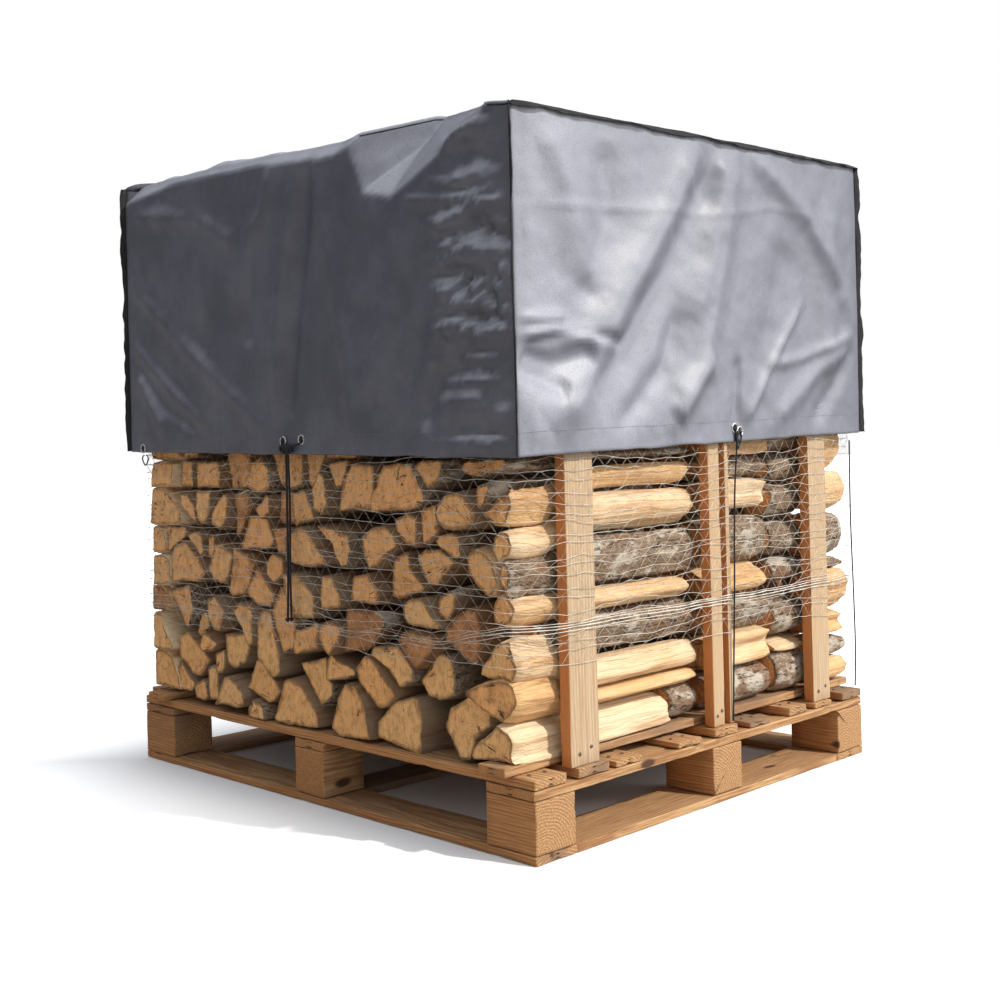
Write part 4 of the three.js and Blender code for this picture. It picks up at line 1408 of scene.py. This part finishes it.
# %% Folds that no picture shows
def any_folds(seed):
    """Folds for the back or the left side, scattered in the manner of the other two."""
    scatter = np.random.default_rng(seed)
    folds = []
    for start in np.linspace(-470, 470, 9) + scatter.uniform(-40, 40, 9):
        drift = scatter.uniform(-150, 150)
        line = [(start + drift * share, 1215 - 520 * share) for share in (0, 0.35, 0.7, 1)]
        depth, width = scatter.choice([-6, -4, 5, 8]), scatter.uniform(16, 30)
        folds.append((depth, width, *line[: scatter.integers(2, 5)]))
    for level in (1075, 872):
        folds.append((1, 7, (-500, level - 8), (0, level + 10), (500, level)))
    for side in (-1, 1):
        for level in scatter.uniform(700, 1180, 6):
            reach = scatter.uniform(70, 170)
            line = (side * 510, level), (side * (510 - reach), level + 30)
            folds.append((scatter.choice([-3, 2.5]), 17, *line))
    return folds


def pucker_folds():
    """A short fold for each pucker. They start at the seam, turn by turn inward and outward."""
    for order, (height, reach, depth) in enumerate(PUCKERS):
        slant = 8 + 34 * math.sin(1.7 * order)
        line = (640, height), (590 - 0.4 * reach, height + 0.3 * slant), (590 - 0.85 * reach, height + slant)
        yield (-0.5 * depth if order % 2 else 0.5 * depth, 11 + 5 * math.sin(2.3 * order), *line)


SIDE_FOLDS = [FRONT_FOLDS + list(pucker_folds()), RIGHT_FOLDS, any_folds(3), any_folds(4)]
print([len(folds) for folds in SIDE_FOLDS], "folds, side by side")

# %% [markdown]
# At the right of the front the cloth is too wide for the stack. The spare cloth stands out beside the
# corner seam in a soft bulge, and it crumples in a band at half its height.

# %% The spare cloth beside the corner seam
CORNER_BULGE = 0.024
CRUMPLE = 0.026
SOFT_LIMIT = 0.014  # beyond this push the cloth gives way ever less
SOFTNESS = 0.01
BAND_FROM, BAND_UP_TO = 0.84, 1.09
BULGE_REACH = 0.22
CRUMPLE_REACH = 0.17


def seam_bulge(places, from_corner):
    """How far the spare cloth pushes each place of the front."""
    beside_seam = places[:, 0] > 0
    height = places[:, 2]
    level = uneven(places * (0, 0, 1), 0.045, seed=3.0)
    band = np.clip((height - BAND_FROM) / 0.02, 0, 1) * np.clip((BAND_UP_TO - height) / 0.06, 0, 1)
    crest = 0.05 + 0.055 * band + 0.05 * level
    fall = (BULGE_REACH - from_corner) / (BULGE_REACH - crest)
    hump = np.clip(from_corner / crest, 0, 1) * np.clip(fall, 0, 1)
    full = np.clip(0.3 + 0.6 * band + 1.2 * level, 0.1, 1)
    by_seam = np.clip((CRUMPLE_REACH + 0.08 * level - from_corner) / 0.07, 0, 1)
    crumpled = CRUMPLE * (0.25 + 0.75 * band) * by_seam * uneven(places, 0.045, 1.0, 21.0, octaves=4)
    return (CORNER_BULGE * hump**1.2 * full + crumpled) * beside_seam


# %% [markdown]
# All pushes are now added up, place by place. Near a corner the seam draws the cloth in, a tie holds it
# flat, and no fold may reach through to the posts behind.

# %% Push the wall
STAND_OFF = (0.007, 0.008)  # how far the walls hang outside the solid: front and back, then the sides
PINNED = ((-0.014, 0), (0.071, 1))  # where a tie holds the cloth flat: how far along, and on which side
PIN_HEIGHT = 0.676
PIN_REACH = 0.06
DEEPEST = (-0.006, -0.003)
DEPTH_GAIN = (1.5, 1.6, 1.2, 1.2)  # the drawn folds, deepened side by side
DRAWN_IN = (0.022, 0.04)  # how near a corner its seam holds the folds flat


def hem_ruffle(along, z):
    """The hem is sewn a little short, so the cloth above it gathers in narrow waves."""
    near_hem = np.exp(-(((z - 0.7) / 0.035) ** 2))
    return near_hem * uneven(np.column_stack([along, 0 * along, 0 * along]), 0.016, seed=5.0)


def push(x, y, z, outward):
    """How far each place of the wall stands out from the solid cover."""
    total = np.zeros(len(x))
    all_places = np.column_stack([x, y, z])
    slack = 0.0035 * uneven(all_places, 0.17, 1.3, 4.0) + 0.0014 * uneven(all_places, 0.05, 1.0, 9.0)
    for side, folds in enumerate(SIDE_FOLDS):
        mine = outward @ ways_of(side)[1] > 0.7
        along = all_places[mine, side % 2]
        places = np.column_stack([along, z[mine]])
        pushed = DEPTH_GAIN[side] * sum(fold_push(places, *fold) for fold in folds) + slack[mine]
        from_corner = COVER_HALF[side % 2] - np.abs(along)
        if side == 0:
            pushed += seam_bulge(all_places[mine], from_corner)
            past = pushed - SOFT_LIMIT
            pushed = np.where(past > 0, SOFT_LIMIT + SOFTNESS * np.tanh(past / SOFTNESS), pushed)
        drawn_in = np.clip(0.25 + from_corner / DRAWN_IN[side % 2], 0, 1)
        pushed = STAND_OFF[side % 2] * (0.3 + 0.7 * drawn_in) + pushed * drawn_in
        pushed += 0.0014 * hem_ruffle(along, z[mine])
        pushed = np.maximum(pushed, DEEPEST[side % 2])
        if side == 0:
            pushed += np.minimum(lean_push(places), edge_lean(along, z[mine]))
        for pin, pinned_side in PINNED:
            if pinned_side == side:
                from_pin = np.hypot(along - pin, z[mine] - PIN_HEIGHT)
                pushed *= np.clip(from_pin / PIN_REACH, 0.1, 1)
        total[mine] = pushed
    return total


# %% [markdown]
# The cloth is one mesh. Its rows start inside the hem, turn round the lower edge, climb the wall, and then
# close over the top in ever smaller rings. At the hem and at the top edge they lie closer together, since
# the cloth bends most there.

# %% Rows of the walls
EDGE = 0.0025
ROWS_BELOW = np.array([0.001, 0.005, 0.011, 0.018, 0.025, 0.031, 0.0355, 0.0373, 0.0384, 0.0396, 0.042])
SEAM_ROW = 8  # the one of them that the hem is stitched along
HEM_TURN = ((0.0026, 0.036), (0.0026, 0.016), (0.0026, 0.003), (0.0013, -0.0008))
UPPER_ROWS = 73
TOP_LIFT = 0.003

ring_places, ring_outward = wall_path((0.0075, 0.0075, 0.014, 0.014))
around = len(ring_places)
ring_x, ring_y = ring_places.T
top_height = corner_height(max, ring_x, ring_y) + TOP_LIFT
hem_height = corner_height(min, ring_x, ring_y)
lifted = lean_push(np.column_stack([ring_x, top_height])) * (ring_outward[:, 1] < -0.7)
top_height = top_height - 0.34 * lifted
hem_height = hem_height + 0.002 * uneven(np.column_stack([ring_places, hem_height]), 0.09, seed=2.0)


def wall_ring(height, inset=0.0):
    """One level of the wall, pushed in and out by its folds."""
    out = push(ring_x, ring_y, height, ring_outward) - inset
    return np.column_stack([ring_places + out[:, None] * ring_outward, height])


rise = top_height - EDGE - hem_height - ROWS_BELOW[-1]
upper_rows = np.linspace(0, 1, UPPER_ROWS + 1)[1:]
rings = [wall_ring(hem_height + up, inset) for inset, up in HEM_TURN]
rings += [wall_ring(hem_height + up) for up in ROWS_BELOW]
rings += [wall_ring(hem_height + ROWS_BELOW[-1] + rise * share) for share in upper_rows]
edge_ring = rings[-1]
print(len(rings), "rows of", around, "points")

# %% [markdown]
# The top is pulled tight over the logs. It swells a little just inside its edge, most at the front left,
# and settles to the level of the stack further in, with a few shallow waves.

# %% Rings of the top
TOP_INSETS = (
    0.0012, 0.004, 0.009, 0.015, 0.022, 0.03, 0.04, 0.053, 0.07, 0.09, 0.12, 0.16, 0.21, 0.27, 0.34, 0.42,
    0.5,
)
BULGE = 0.01
SETTLED = 0.16  # this far in from its edge the top lies flat on the logs
RIPPLE = 0.011

at_front = np.clip(-ring_outward[:, 1], 0, 1) * np.clip(0.45 - ring_x, 0, 1)
angular = np.abs(uneven(np.column_stack([ring_places, np.ones(around)]), 0.16, seed=6.0))
swollen = BULGE * (0.4 + 2.4 * at_front * (0.35 + 1.6 * angular))
for inset in TOP_INSETS:
    flat = edge_ring[:, :2] * (1 - np.minimum(inset / COVER_HALF, 0.97))
    crown = swollen * (1 - math.exp(-inset / 0.02))
    waves = uneven(np.column_stack([flat, np.ones(around)]), 0.16, seed=12.0)
    ripple = waves * RIPPLE * min(1, inset / 0.06)
    swelling = edge_ring[:, 2] + min(EDGE, inset) + crown
    level = corner_height(max, *flat.T) + TOP_LIFT + EDGE + 0.4 * BULGE
    share = eased(min(1, inset / SETTLED))
    rings.append(np.column_stack([flat, swelling * (1 - share) + level * share + ripple]))
rings = np.array(rings)
print("the top is", round(float(rings[-1, :, 2].mean()), 3), "m high in its middle")

# %% [markdown]
# The cloth is painted lighter where it faces the sun, and where it leans back and faces up: a painted
# highlight that stands in for sunlight and sheen. Both are worked out from the direction that each place
# faces, and carried as one mark on the mesh.

# %% Painted highlight where the cloth faces the sun or leans back
PAINTED_SUNLIGHT_BETWEEN = (0.3, 0.95)
PAINTED_SHEEN_BETWEEN = (0.12, 0.5)
PAINTED_SUNLIGHT_ALONG = (1.15, 0.5)  # the painted sunlight is stronger at the near end of the right side than at its far end

along_ring = np.roll(rings, -1, axis=1) - np.roll(rings, 1, axis=1)
facing = unit(np.cross(along_ring, np.gradient(rings, axis=0)))
to_sun = facing @ unit(np.array(SUN_FROM))
# Painted sunlight: the more a place faces the sun, the lighter its colour.
painted_sunlight = np.interp(to_sun, PAINTED_SUNLIGHT_BETWEEN, (0, 1)) * np.interp(rings[:, :, 1], (-0.5, 0.5), PAINTED_SUNLIGHT_ALONG)
# Painted highlight also where the cloth faces up, as on the patch that leans back.
painted_highlight = np.maximum(painted_sunlight, np.interp(facing[:, :, 2], PAINTED_SHEEN_BETWEEN, (0, 1)))
points = np.vstack([rings.reshape(-1, 3), rings[-1].mean(axis=0)])
faces = ring_faces(len(rings), around) + fan((len(rings) - 1) * around, around, len(points) - 1)
print(len(faces), "faces of cloth")

# %% [markdown]
# The cloth is a slate-grey polyester with a thin coating: dark in itself, and glossy. The side towards the
# light is also painted lighter, a painted highlight that turns it silver. Its threads are far finer than a
# pixel, so they are drawn by a bump, with a soft mottling where the coating has creased.

# %% The finish of the cloth
def coated_cloth():
    cloth = Finish("coated_cloth", Specular_IOR_Level=0.8)
    place = cloth.place()
    across, along, up = cloth.apart(place)
    threads = [cloth.wave(run * 5200.0) for run in (across + along, up)]
    weave = threads[0] * threads[1] * 0.5 + 0.5
    creases = cloth.noise(place * (26.0, 26.0, 19.0), 1.0, 5.0, 0.6)
    ridges = cloth.fade(abs(cloth.noise(place * (7.0, 7.0, 5.0), 1.0, 4.0, 0.6) - 0.5), 0.1, 0.0)
    clouds = cloth.noise(place * 9.0, 1.0, 4.0, 0.6)
    body = cloth.mix(cloth.fade(clouds, 0.3, 0.7), shade(66, 68, 82), shade(86, 88, 102))
    # Painted highlight: the colour turns lighter where the cloth faces the sun or leans back.
    body = cloth.mix(cloth.mark("painted_highlight"), body, shade(148, 150, 161))
    slubs = cloth.noise(place * (260.0, 260.0, 420.0), 1.0, 2.0, 0.6)
    body = cloth.mix(cloth.fade(slubs, 0.45, 0.75) * 0.3, body, shade(58, 60, 70))
    cloth.bump(weave * 0.012 + creases * 0.28 + ridges * 0.16, 0.0022)
    return cloth.paint(Base_Color=body, Roughness=0.55 - clouds * 0.11)


# %% The cloth
CLOTH = 0.001

marks = {"painted_highlight": np.append(painted_highlight.ravel(), 1.0)}
cover = make_piece("cover_cloth", points, faces, [coated_cloth()], "cover", ["cover"], marks=marks)
thickness = cover.modifiers.new("cloth thickness", "SOLIDIFY")
thickness.thickness = CLOTH
thickness.offset = -1
print("cloth", CLOTH, "m thick")

# %% [markdown]
# ## Seams, stitches and eyelets
# Black tape binds the cover's seams. At the corners it stands out as a narrow fin, and at the top it leans
# outward over the sides, but it has flopped back over the front. White thread holds the hem, and metal
# eyelets take the ties. All of these follow the rings of the cloth, so they move with its folds.

# %% The finish of the binding tape
def woven_tape():
    tape = Finish("binding_tape", Base_Color=shade(22, 22, 25), Roughness=0.7)
    place = tape.place()
    across, along, up = tape.apart(place)
    ribs = tape.wave((across + along + up) * 3600.0)
    worn = tape.noise(place * 60.0, 1.0, 3.0)
    tape.bump(ribs * 0.3 + worn, 0.0008)
    return tape.paint(Base_Color=tape.mix(tape.fade(worn, 0.5, 0.8), shade(18, 18, 21), shade(46, 46, 50)))


# %% A fin of folded tape
FIN_WIDE = 0.0115
FIN_HALF = 0.0014
FIN_SECTION = np.array([(-0.18, -0.9), (0.5, -1), (0.9, -0.8), (1, 0), (0.9, 0.8), (0.5, 1), (-0.18, 0.9)])


def fin(route, toward, loop=False):
    """A flat strip of folded tape along a route, standing toward the given directions."""
    toward = unit(toward)
    flat = unit(np.cross(way_on(route, loop), toward))
    wide = FIN_WIDE * (1 + 0.36 * uneven(route, 0.05, seed=8.0)) * (1 - 0.7 * np.maximum(toward[:, 2], 0))
    reach = FIN_SECTION[None, :, 0, None] * (wide[:, None] * toward)[:, None]
    points = route[:, None] + reach + FIN_SECTION[None, :, 1, None] * FIN_HALF * flat[:, None]
    points = points.reshape(-1, 3)
    corners = len(FIN_SECTION)
    faces = ring_faces(len(route), corners, loop)
    if not loop:
        faces += [list(range(corners))[::-1], list(range(len(points) - corners, len(points)))]
    return points, faces


# %% The binding
wall_rings = rings[len(HEM_TURN) : -len(TOP_INSETS)]
strips = []
for corner in ((-1, -1), (1, -1), (1, 1), (-1, 1)):
    column = int(np.argmax(ring_outward @ corner))
    out = ring_outward[column]
    route = wall_rings[:, column]
    sway = 0.35 * uneven(route, 0.09, seed=4.0)
    beside = np.array([-out[1], out[0]])
    strips.append(fin(route, np.column_stack([out + sway[:, None] * beside, 0.05 * sway])))
upward = np.radians(-36 + 212 * np.clip(-ring_outward[:, 1] * 1.6 - 0.6, 0, 1))
upward += 0.5 * uneven(edge_ring, 0.06, seed=15.0)
toward = np.column_stack([np.cos(upward)[:, None] * ring_outward, np.sin(upward)])
sunk = 0.001 - 0.005 * np.clip(-ring_outward[:, 1], 0, 1)
strips.append(fin(edge_ring + sunk[:, None] * (0, 0, 1.0), toward, loop=True))
binding = make_piece("cover_binding", *together(strips), [woven_tape()], "cover")
print(len(strips), "strips of binding")

# %% [markdown]
# Thread, metal, plastic and steel are small here, and all of them wear in the same way: a fine noise
# soils or polishes the surface in specks. So one helper makes these four finishes.

# %% A finish for small pieces
def speckled(name, fineness, noise_kind, depth, clean, worn, between=None, gloss=None, **constants):
    """One noise gives a small piece its specks, its unevenness and, with gloss, its worn shine."""
    finish = Finish(name, **constants)
    specks = finish.noise(finish.place() * fineness, 1.0, *noise_kind)
    finish.bump(specks, depth)
    colour = finish.mix(finish.fade(specks, *between) if between else specks, shade(*clean), shade(*worn))
    varying = {} if gloss is None else {"Roughness": gloss + specks * 0.3}
    return finish.paint(Base_Color=colour, **varying)


# %% [markdown]
# The hem is sewn with a row of short straight stitches. Each is a tiny box, set along the seam and tilted
# with the cloth, since a stitch this small shows no more than its length.

# %% The stitches of the hem
STITCH_PITCH = 0.005
STITCH = np.array([0.0032, 0.0009, 0.0006])
BOX = np.array([(x, y, z) for x in (-0.5, 0.5) for y in (-0.5, 0.5) for z in (-0.5, 0.5)]) * STITCH
BOX_FACES = [(0, 1, 3, 2), (4, 6, 7, 5), (0, 4, 5, 1), (2, 3, 7, 6), (0, 2, 6, 4), (1, 5, 7, 3)]

thread = speckled("stitching", 120.0, (2.0,), 0.0003, (70, 72, 80), (128, 130, 138), Roughness=0.7)
seam_ring = rings[len(HEM_TURN) + SEAM_ROW]
seam = np.vstack([seam_ring, seam_ring[:1]])
stops = np.arange(0, reach_along(seam)[-1], STITCH_PITCH)
here = points_at(seam, stops)
ahead = unit(points_at(seam, stops + 0.002) - here)
out = unit(np.cross(ahead, (0, 0, 1.0)))
frames = np.stack([ahead, np.cross(out, ahead), out], axis=1)
boxes = here[:, None] + np.einsum("kc,scd->skd", BOX, frames)
sewn = together([(box, BOX_FACES) for box in boxes])
stitches = make_piece("hem_stitches", *sewn, [thread], "cover", flat=True)
print(len(boxes), "stitches")

# %% [markdown]
# An eyelet is a rolled ring of metal round a hole. The hole is a small dark dish on the cloth, painted shade
# for the dark inside of the hole, because a real hole through the mesh would need finer rows all over the
# wall.

# %% The eyelets
EYELET_RING = 0.0085
EYELET_TUBE = 0.0017
EYELET_STEPS = 28
# On which side, how far along and how high.
EYELETS = (
    (0, -0.03, 0.692), (0, 0.034, 0.694), (1, 0.066, 0.695), (1, 0.082, 0.689), (2, 0.574, 0.7),
    (0, -0.54, 0.684),
)


def on_wall(side, along, height):
    """A place on the cloth, and the direction that its wall faces."""
    _, facing = ways_of(side)
    flat = facing * COVER_HALF
    flat[side % 2] = along
    out = push(flat[:1], flat[1:], np.array([height]), facing[None])[0]
    return np.append(flat + out * facing, height), np.append(facing, 0)


metal = speckled(
    "eyelet_metal", 260.0, (3.0,), 0.0003, (206, 206, 208), (120, 118, 116), (0.45, 0.7), 0.28, Metallic=0.9
)
turn = np.linspace(0, 2 * math.pi, EYELET_STEPS, endpoint=False)
dish_faces = ring_faces(3, EYELET_STEPS) + fan(2 * EYELET_STEPS, EYELET_STEPS, 3 * EYELET_STEPS)
rims, holes = [], []
for side, along, height in EYELETS:
    place, facing = on_wall(side, along, height)
    beside = np.cross((0, 0, 1.0), facing)
    circle = EYELET_RING * (np.cos(turn)[:, None] * beside + np.sin(turn)[:, None] * (0, 0, 1.0))
    rims.append(tube(place + 0.0008 * facing + circle, EYELET_TUBE, 10, loop=True, steady=facing)[:2])
    # The dark dish is painted shade in the hole of the eyelet.
    dish = [place + circle, place + 0.0012 * facing + circle, place + 0.0007 * facing + 0.5 * circle]
    holes.append((np.vstack([*dish, place + 0.0006 * facing]), dish_faces))
eyelets = make_piece("eyelets", *together(rims), [metal], "cover")
make_piece("eyelet_holes", *together(holes), [woven_tape()], "cover")
print(len(rims), "eyelets")

# %% [markdown]
# The cover was cut from flat cloth: the top with a wall on each side of it, and a square cut out at each
# corner.

# %% [markdown]
# ## The net
# Pallet net is knitted: long threads run round the stack, and thinner threads zigzag between them. It is
# wound round the posts with some pull, so it is straight from post to post, crosses the corners of the
# stack at a slant, and wanders up and down on its way. Its lower edge has bunched into a thicker strand.

# %% The finish of the net
def knitted_thread():
    net = Finish("net_thread", Roughness=0.55)
    place = net.place()
    wear = net.noise(place * 40.0, 1.0, 3.0)
    net.bump(net.noise(place * 900.0, 1.0, 2.0), 0.0003)
    return net.paint(Base_Color=net.mix(net.fade(wear, 0.4, 0.7), shade(226, 220, 208), shade(176, 168, 156)))


# %% The way round the stack
NET_CORNERS = np.array([
    (-0.561, -0.5085), (0.561, -0.5085), (0.5958, -0.402), (0.5958, 0.394),
    (0.577, 0.514), (-0.561, 0.514), (-0.5958, 0.394), (-0.5958, -0.402), (-0.561, -0.5085),
])
NET_ROUND = reach_along(NET_CORNERS)[-1]
NET_BEND = 0.006  # how far from a corner its curve starts


def round_stack(distance):
    """Places round the net's path, with a slight curve at its corners."""
    return sum(points_at(NET_CORNERS, (distance + near) % NET_ROUND) for near in (-NET_BEND, 0, NET_BEND)) / 3


def thread_height(distance, level):
    """How high a thread runs: neighbours wander together, and each one also by itself."""
    angle = 2 * math.pi * distance / NET_ROUND
    place = np.column_stack([0.7 * np.cos(angle), 0.7 * np.sin(angle), np.full(len(distance), level)])
    wander = uneven(place, 0.16, 0.45, 3.0, 2)
    own = uneven(place, 0.035, 0.1, 7.0, 2)
    return level + 0.013 * wander + 0.004 * own


# %% Long threads and zigzags
NET_FLOOR, NET_TOP = 0.312, 0.74
NET_ROWS = 25
THREAD = 0.0006
ZIGZAG = 0.00034
MESHES_ROUND = 112

levels = np.linspace(NET_FLOOR, NET_TOP, NET_ROWS)
levels += np.random.default_rng(12).uniform(-0.004, 0.004, NET_ROWS)
threads = []
distance = np.linspace(0, NET_ROUND, 190, endpoint=False)
for level in levels:
    route = np.column_stack([round_stack(distance), thread_height(distance, level)])
    threads.append(tube(route, THREAD, 3, loop=True)[:2])
zigzag = np.linspace(0, NET_ROUND, 2 * MESHES_ROUND, endpoint=False)
for row in range(NET_ROWS - 1):
    lower, upper = (thread_height(zigzag, level) for level in levels[row : row + 2])
    goes_up = np.arange(len(zigzag)) % 2 == row % 2
    route = np.column_stack([round_stack(zigzag + 0.004 * (row % 3)), np.where(goes_up, upper, lower)])
    threads.append(tube(route, ZIGZAG, 3, loop=True)[:2])
print(len(threads), "threads of net")

# %% [markdown]
# The bunched edge is four strands that run close together along the right side. Elsewhere they are thin
# and follow the other threads.

# %% The bunched edge
BUNCHED_AT = 0.372
BUNCHED = 0.001
# How much higher each strand runs, and its share of that thickness.
STRANDS = ((0.0, 1.0), (0.005, 0.8), (-0.006, 0.7), (0.009, 0.6))

for rise, thick in STRANDS:
    level = BUNCHED_AT + rise
    route = np.column_stack([round_stack(distance), thread_height(distance, level)])
    side_only = np.clip((route[:, 0] - 0.4) / 0.15, 0, 1)
    taut = level + 0.25 * (route[:, 2] - level)
    route[:, 2] = side_only * taut + (1 - side_only) * (route[:, 2] - 0.03)
    threads.append(tube(route, thick * BUNCHED * (0.35 + 0.65 * side_only), 5, loop=True)[:2])
net_points, net_faces = together(threads)
make_piece("net_threads", net_points, net_faces, [knitted_thread()], "net", ["net"])
print(sum(len(face) - 2 for face in net_faces), "triangles of net")

# %% [markdown]
# ## Knots, toggle, loop and nails
# The front tie goes through both eyelets and is knotted under them. A flat knot is a curve that crosses
# itself three times, and three waves of different pace draw it. Two short strands come from the eyelets,
# and two ears stand out at the sides.

# %% The front knot
EAR = ((0, 0, 0), (0.013, -0.002, 0.005), (0.017, 0, -0.002), (0.009, 0.001, -0.007), (0, 0, 0))

turn = np.linspace(0, 2 * math.pi, 72, endpoint=False)
knot_middle = np.array([-0.014, -0.5265, 0.677])
knot_across = 0.0052 * (np.sin(turn) + 2 * np.sin(2 * turn))
knot_upward = 0.0029 * (np.cos(turn) - 2 * np.cos(2 * turn))
knot_path = knot_middle + np.stack([knot_across, -0.0021 * np.sin(3 * turn), knot_upward], axis=1)
lumps = [tube(knot_path, TAIL_RADIUS, 10, loop=True)]
for along in (-0.03, 0.034):
    place, facing = on_wall(0, along, 0.692)
    under = place + 0.0042 * facing + (0, 0, -0.005)
    stops = [place + 0.001 * facing, under, knot_middle + (0.2 * along, 0, 0.002)]
    lumps.append(tube(smooth_route(stops, 24), 0.9 * TAIL_RADIUS, 10))
for sign in (-1, 1):
    ear = [knot_middle + (sign * across, back, up) for across, back, up in EAR]
    lumps.append(tube(smooth_route(ear, 36), TAIL_RADIUS, 10))
cord_piece("front_knot_cord", lumps, ["front_knot"])

# %% [markdown]
# Each tail ends in an overhand knot, so that it doesn't fray. At this size a ring of cord that rises and
# falls twice looks just like one.

# %% The end knots of the tails
END_KNOT_RING = 0.0032
END_KNOT_TUBE = 0.0017

end_knots = []
for name in ("front_tail_left", "front_tail_right"):
    wave = 0.0016 * np.sin(2 * turn) + 0.004
    wrap = np.stack([END_KNOT_RING * np.cos(turn), END_KNOT_RING * np.sin(turn), wave], axis=1)
    end_knots.append(tube(np.array(CORD_ROUTES[name][-1]) + wrap, END_KNOT_TUBE, 8, loop=True))
cord_piece("tail_end_knots", end_knots)

# %% [markdown]
# The toggle is a moulded barrel with two collars, turned from a profile of heights and radii. Two short
# strands lead from the eyelets behind it to the tie below.

# %% The toggle
TOGGLE_MIDDLE = np.array([0.6034, 0.071, 0.673])
# Half of the barrel: how far from its middle, and the radius there, in millimetres.
BARREL = [(17, 0.5), (16.6, 2.4), (15.5, 3.4), (11, 3.9), (10, 3.1), (4, 3.1), (3, 4)]

plastic = speckled("moulded_plastic", 300.0, (4.0, 0.6), 0.0003, (16, 16, 18), (40, 40, 43), gloss=0.32)
profile = [(-height, wide) for height, wide in BARREL] + BARREL[::-1]
barrel_route = TOGGLE_MIDDLE + np.array([(0, 0, height * MM) for height, _ in profile])
barrel = tube(barrel_route, [wide * MM for _, wide in profile], 18)[:2]
make_piece("toggle_barrel", *barrel, [plastic], "toggle", ["right_toggle"])

strands = []
for along, height in ((0.066, 0.695), (0.082, 0.689)):
    place, facing = on_wall(1, along, height)
    spread = along - 0.07
    foot = np.array([0.6016, 0.07 + 0.25 * spread, 0.655])
    over = place + 0.004 * facing + (0, 0, -0.008)
    stops = [place + 0.001 * facing, over, foot + (0.003, 0.5 * spread, 0.015), foot]
    strands.append(tube(smooth_route(stops, 30), TIE_RADIUS, 10))
cord_piece("toggle_strands", strands)

# %% [markdown]
# A small loop of thinner cord hangs under the hem, near the front left corner. It is most of a circle,
# twisted a little out of its plane as a stiff loop of cord is.

# %% The loop
LOOP_MIDDLE = np.array([-0.54, -0.521, 0.659])
LOOP_RING = 0.011
LOOP_TUBE = 0.0014

sweep = np.radians(np.linspace(75, -255, 60))
twisted = np.stack([np.cos(sweep), 0.12 * np.sin(2 * sweep), np.sin(sweep)], axis=1)
loop_route = LOOP_MIDDLE + LOOP_RING * twisted
cord_piece("front_loop_cord", [tube(loop_route, LOOP_TUBE, 10)], ["front_loop"])

# %% [markdown]
# Nails hold the deck boards to the stringers, and the posts to the ends of the boards. Only their heads
# show, so each is a low round lid that stands a little proud of the wood.

# %% Nails
NAIL_HEAD = 0.0036
# How far out, and the share of the radius there.
NAIL_PROFILE = ((-0.001, 1), (0.0002, 1), (0.0007, 0.85), (0.0009, 0.4))
DECK_LINES = (-0.568, -0.545, 0.0, 0.545, 0.568)


def nail(place, facing):
    """A flat round head that stands a little proud of the wood."""
    route = [np.array(place) + depth * np.array(facing, float) for depth, _ in NAIL_PROFILE]
    return tube(route, [wide * NAIL_HEAD for _, wide in NAIL_PROFILE], 8)[:2]


steel = speckled(
    "nail_steel", 500.0, (3.0,), 0.0004, (120, 116, 112), (98, 62, 42), (0.45, 0.6), 0.4, Metallic=0.8
)
nails = []
for number in range(1, 10):
    low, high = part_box(f"deck_board_{number}")
    for line in DECK_LINES:
        for share in (0.28, 0.72):
            place = (line + 0.006 * (share - 0.5), low[1] + share * (high[1] - low[1]), high[2])
            nails.append(nail(place, (0, 0, 1)))
for post_name in [f"post_{side}_{number}" for side in ("left", "right") for number in (1, 2, 3)]:
    low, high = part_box(post_name)
    outer = 1 if high[0] > 0 else -1
    face = high[0] if outer > 0 else low[0]
    for share, up in ((0.3, 0.02), (0.7, 0.028)):
        nails.append(nail((face, low[1] + share * (high[1] - low[1]), low[2] + up), (outer, 0, 0)))
make_piece("nails", *together(nails), [steel], "pallet_wood")
print(len(nails), "nails")
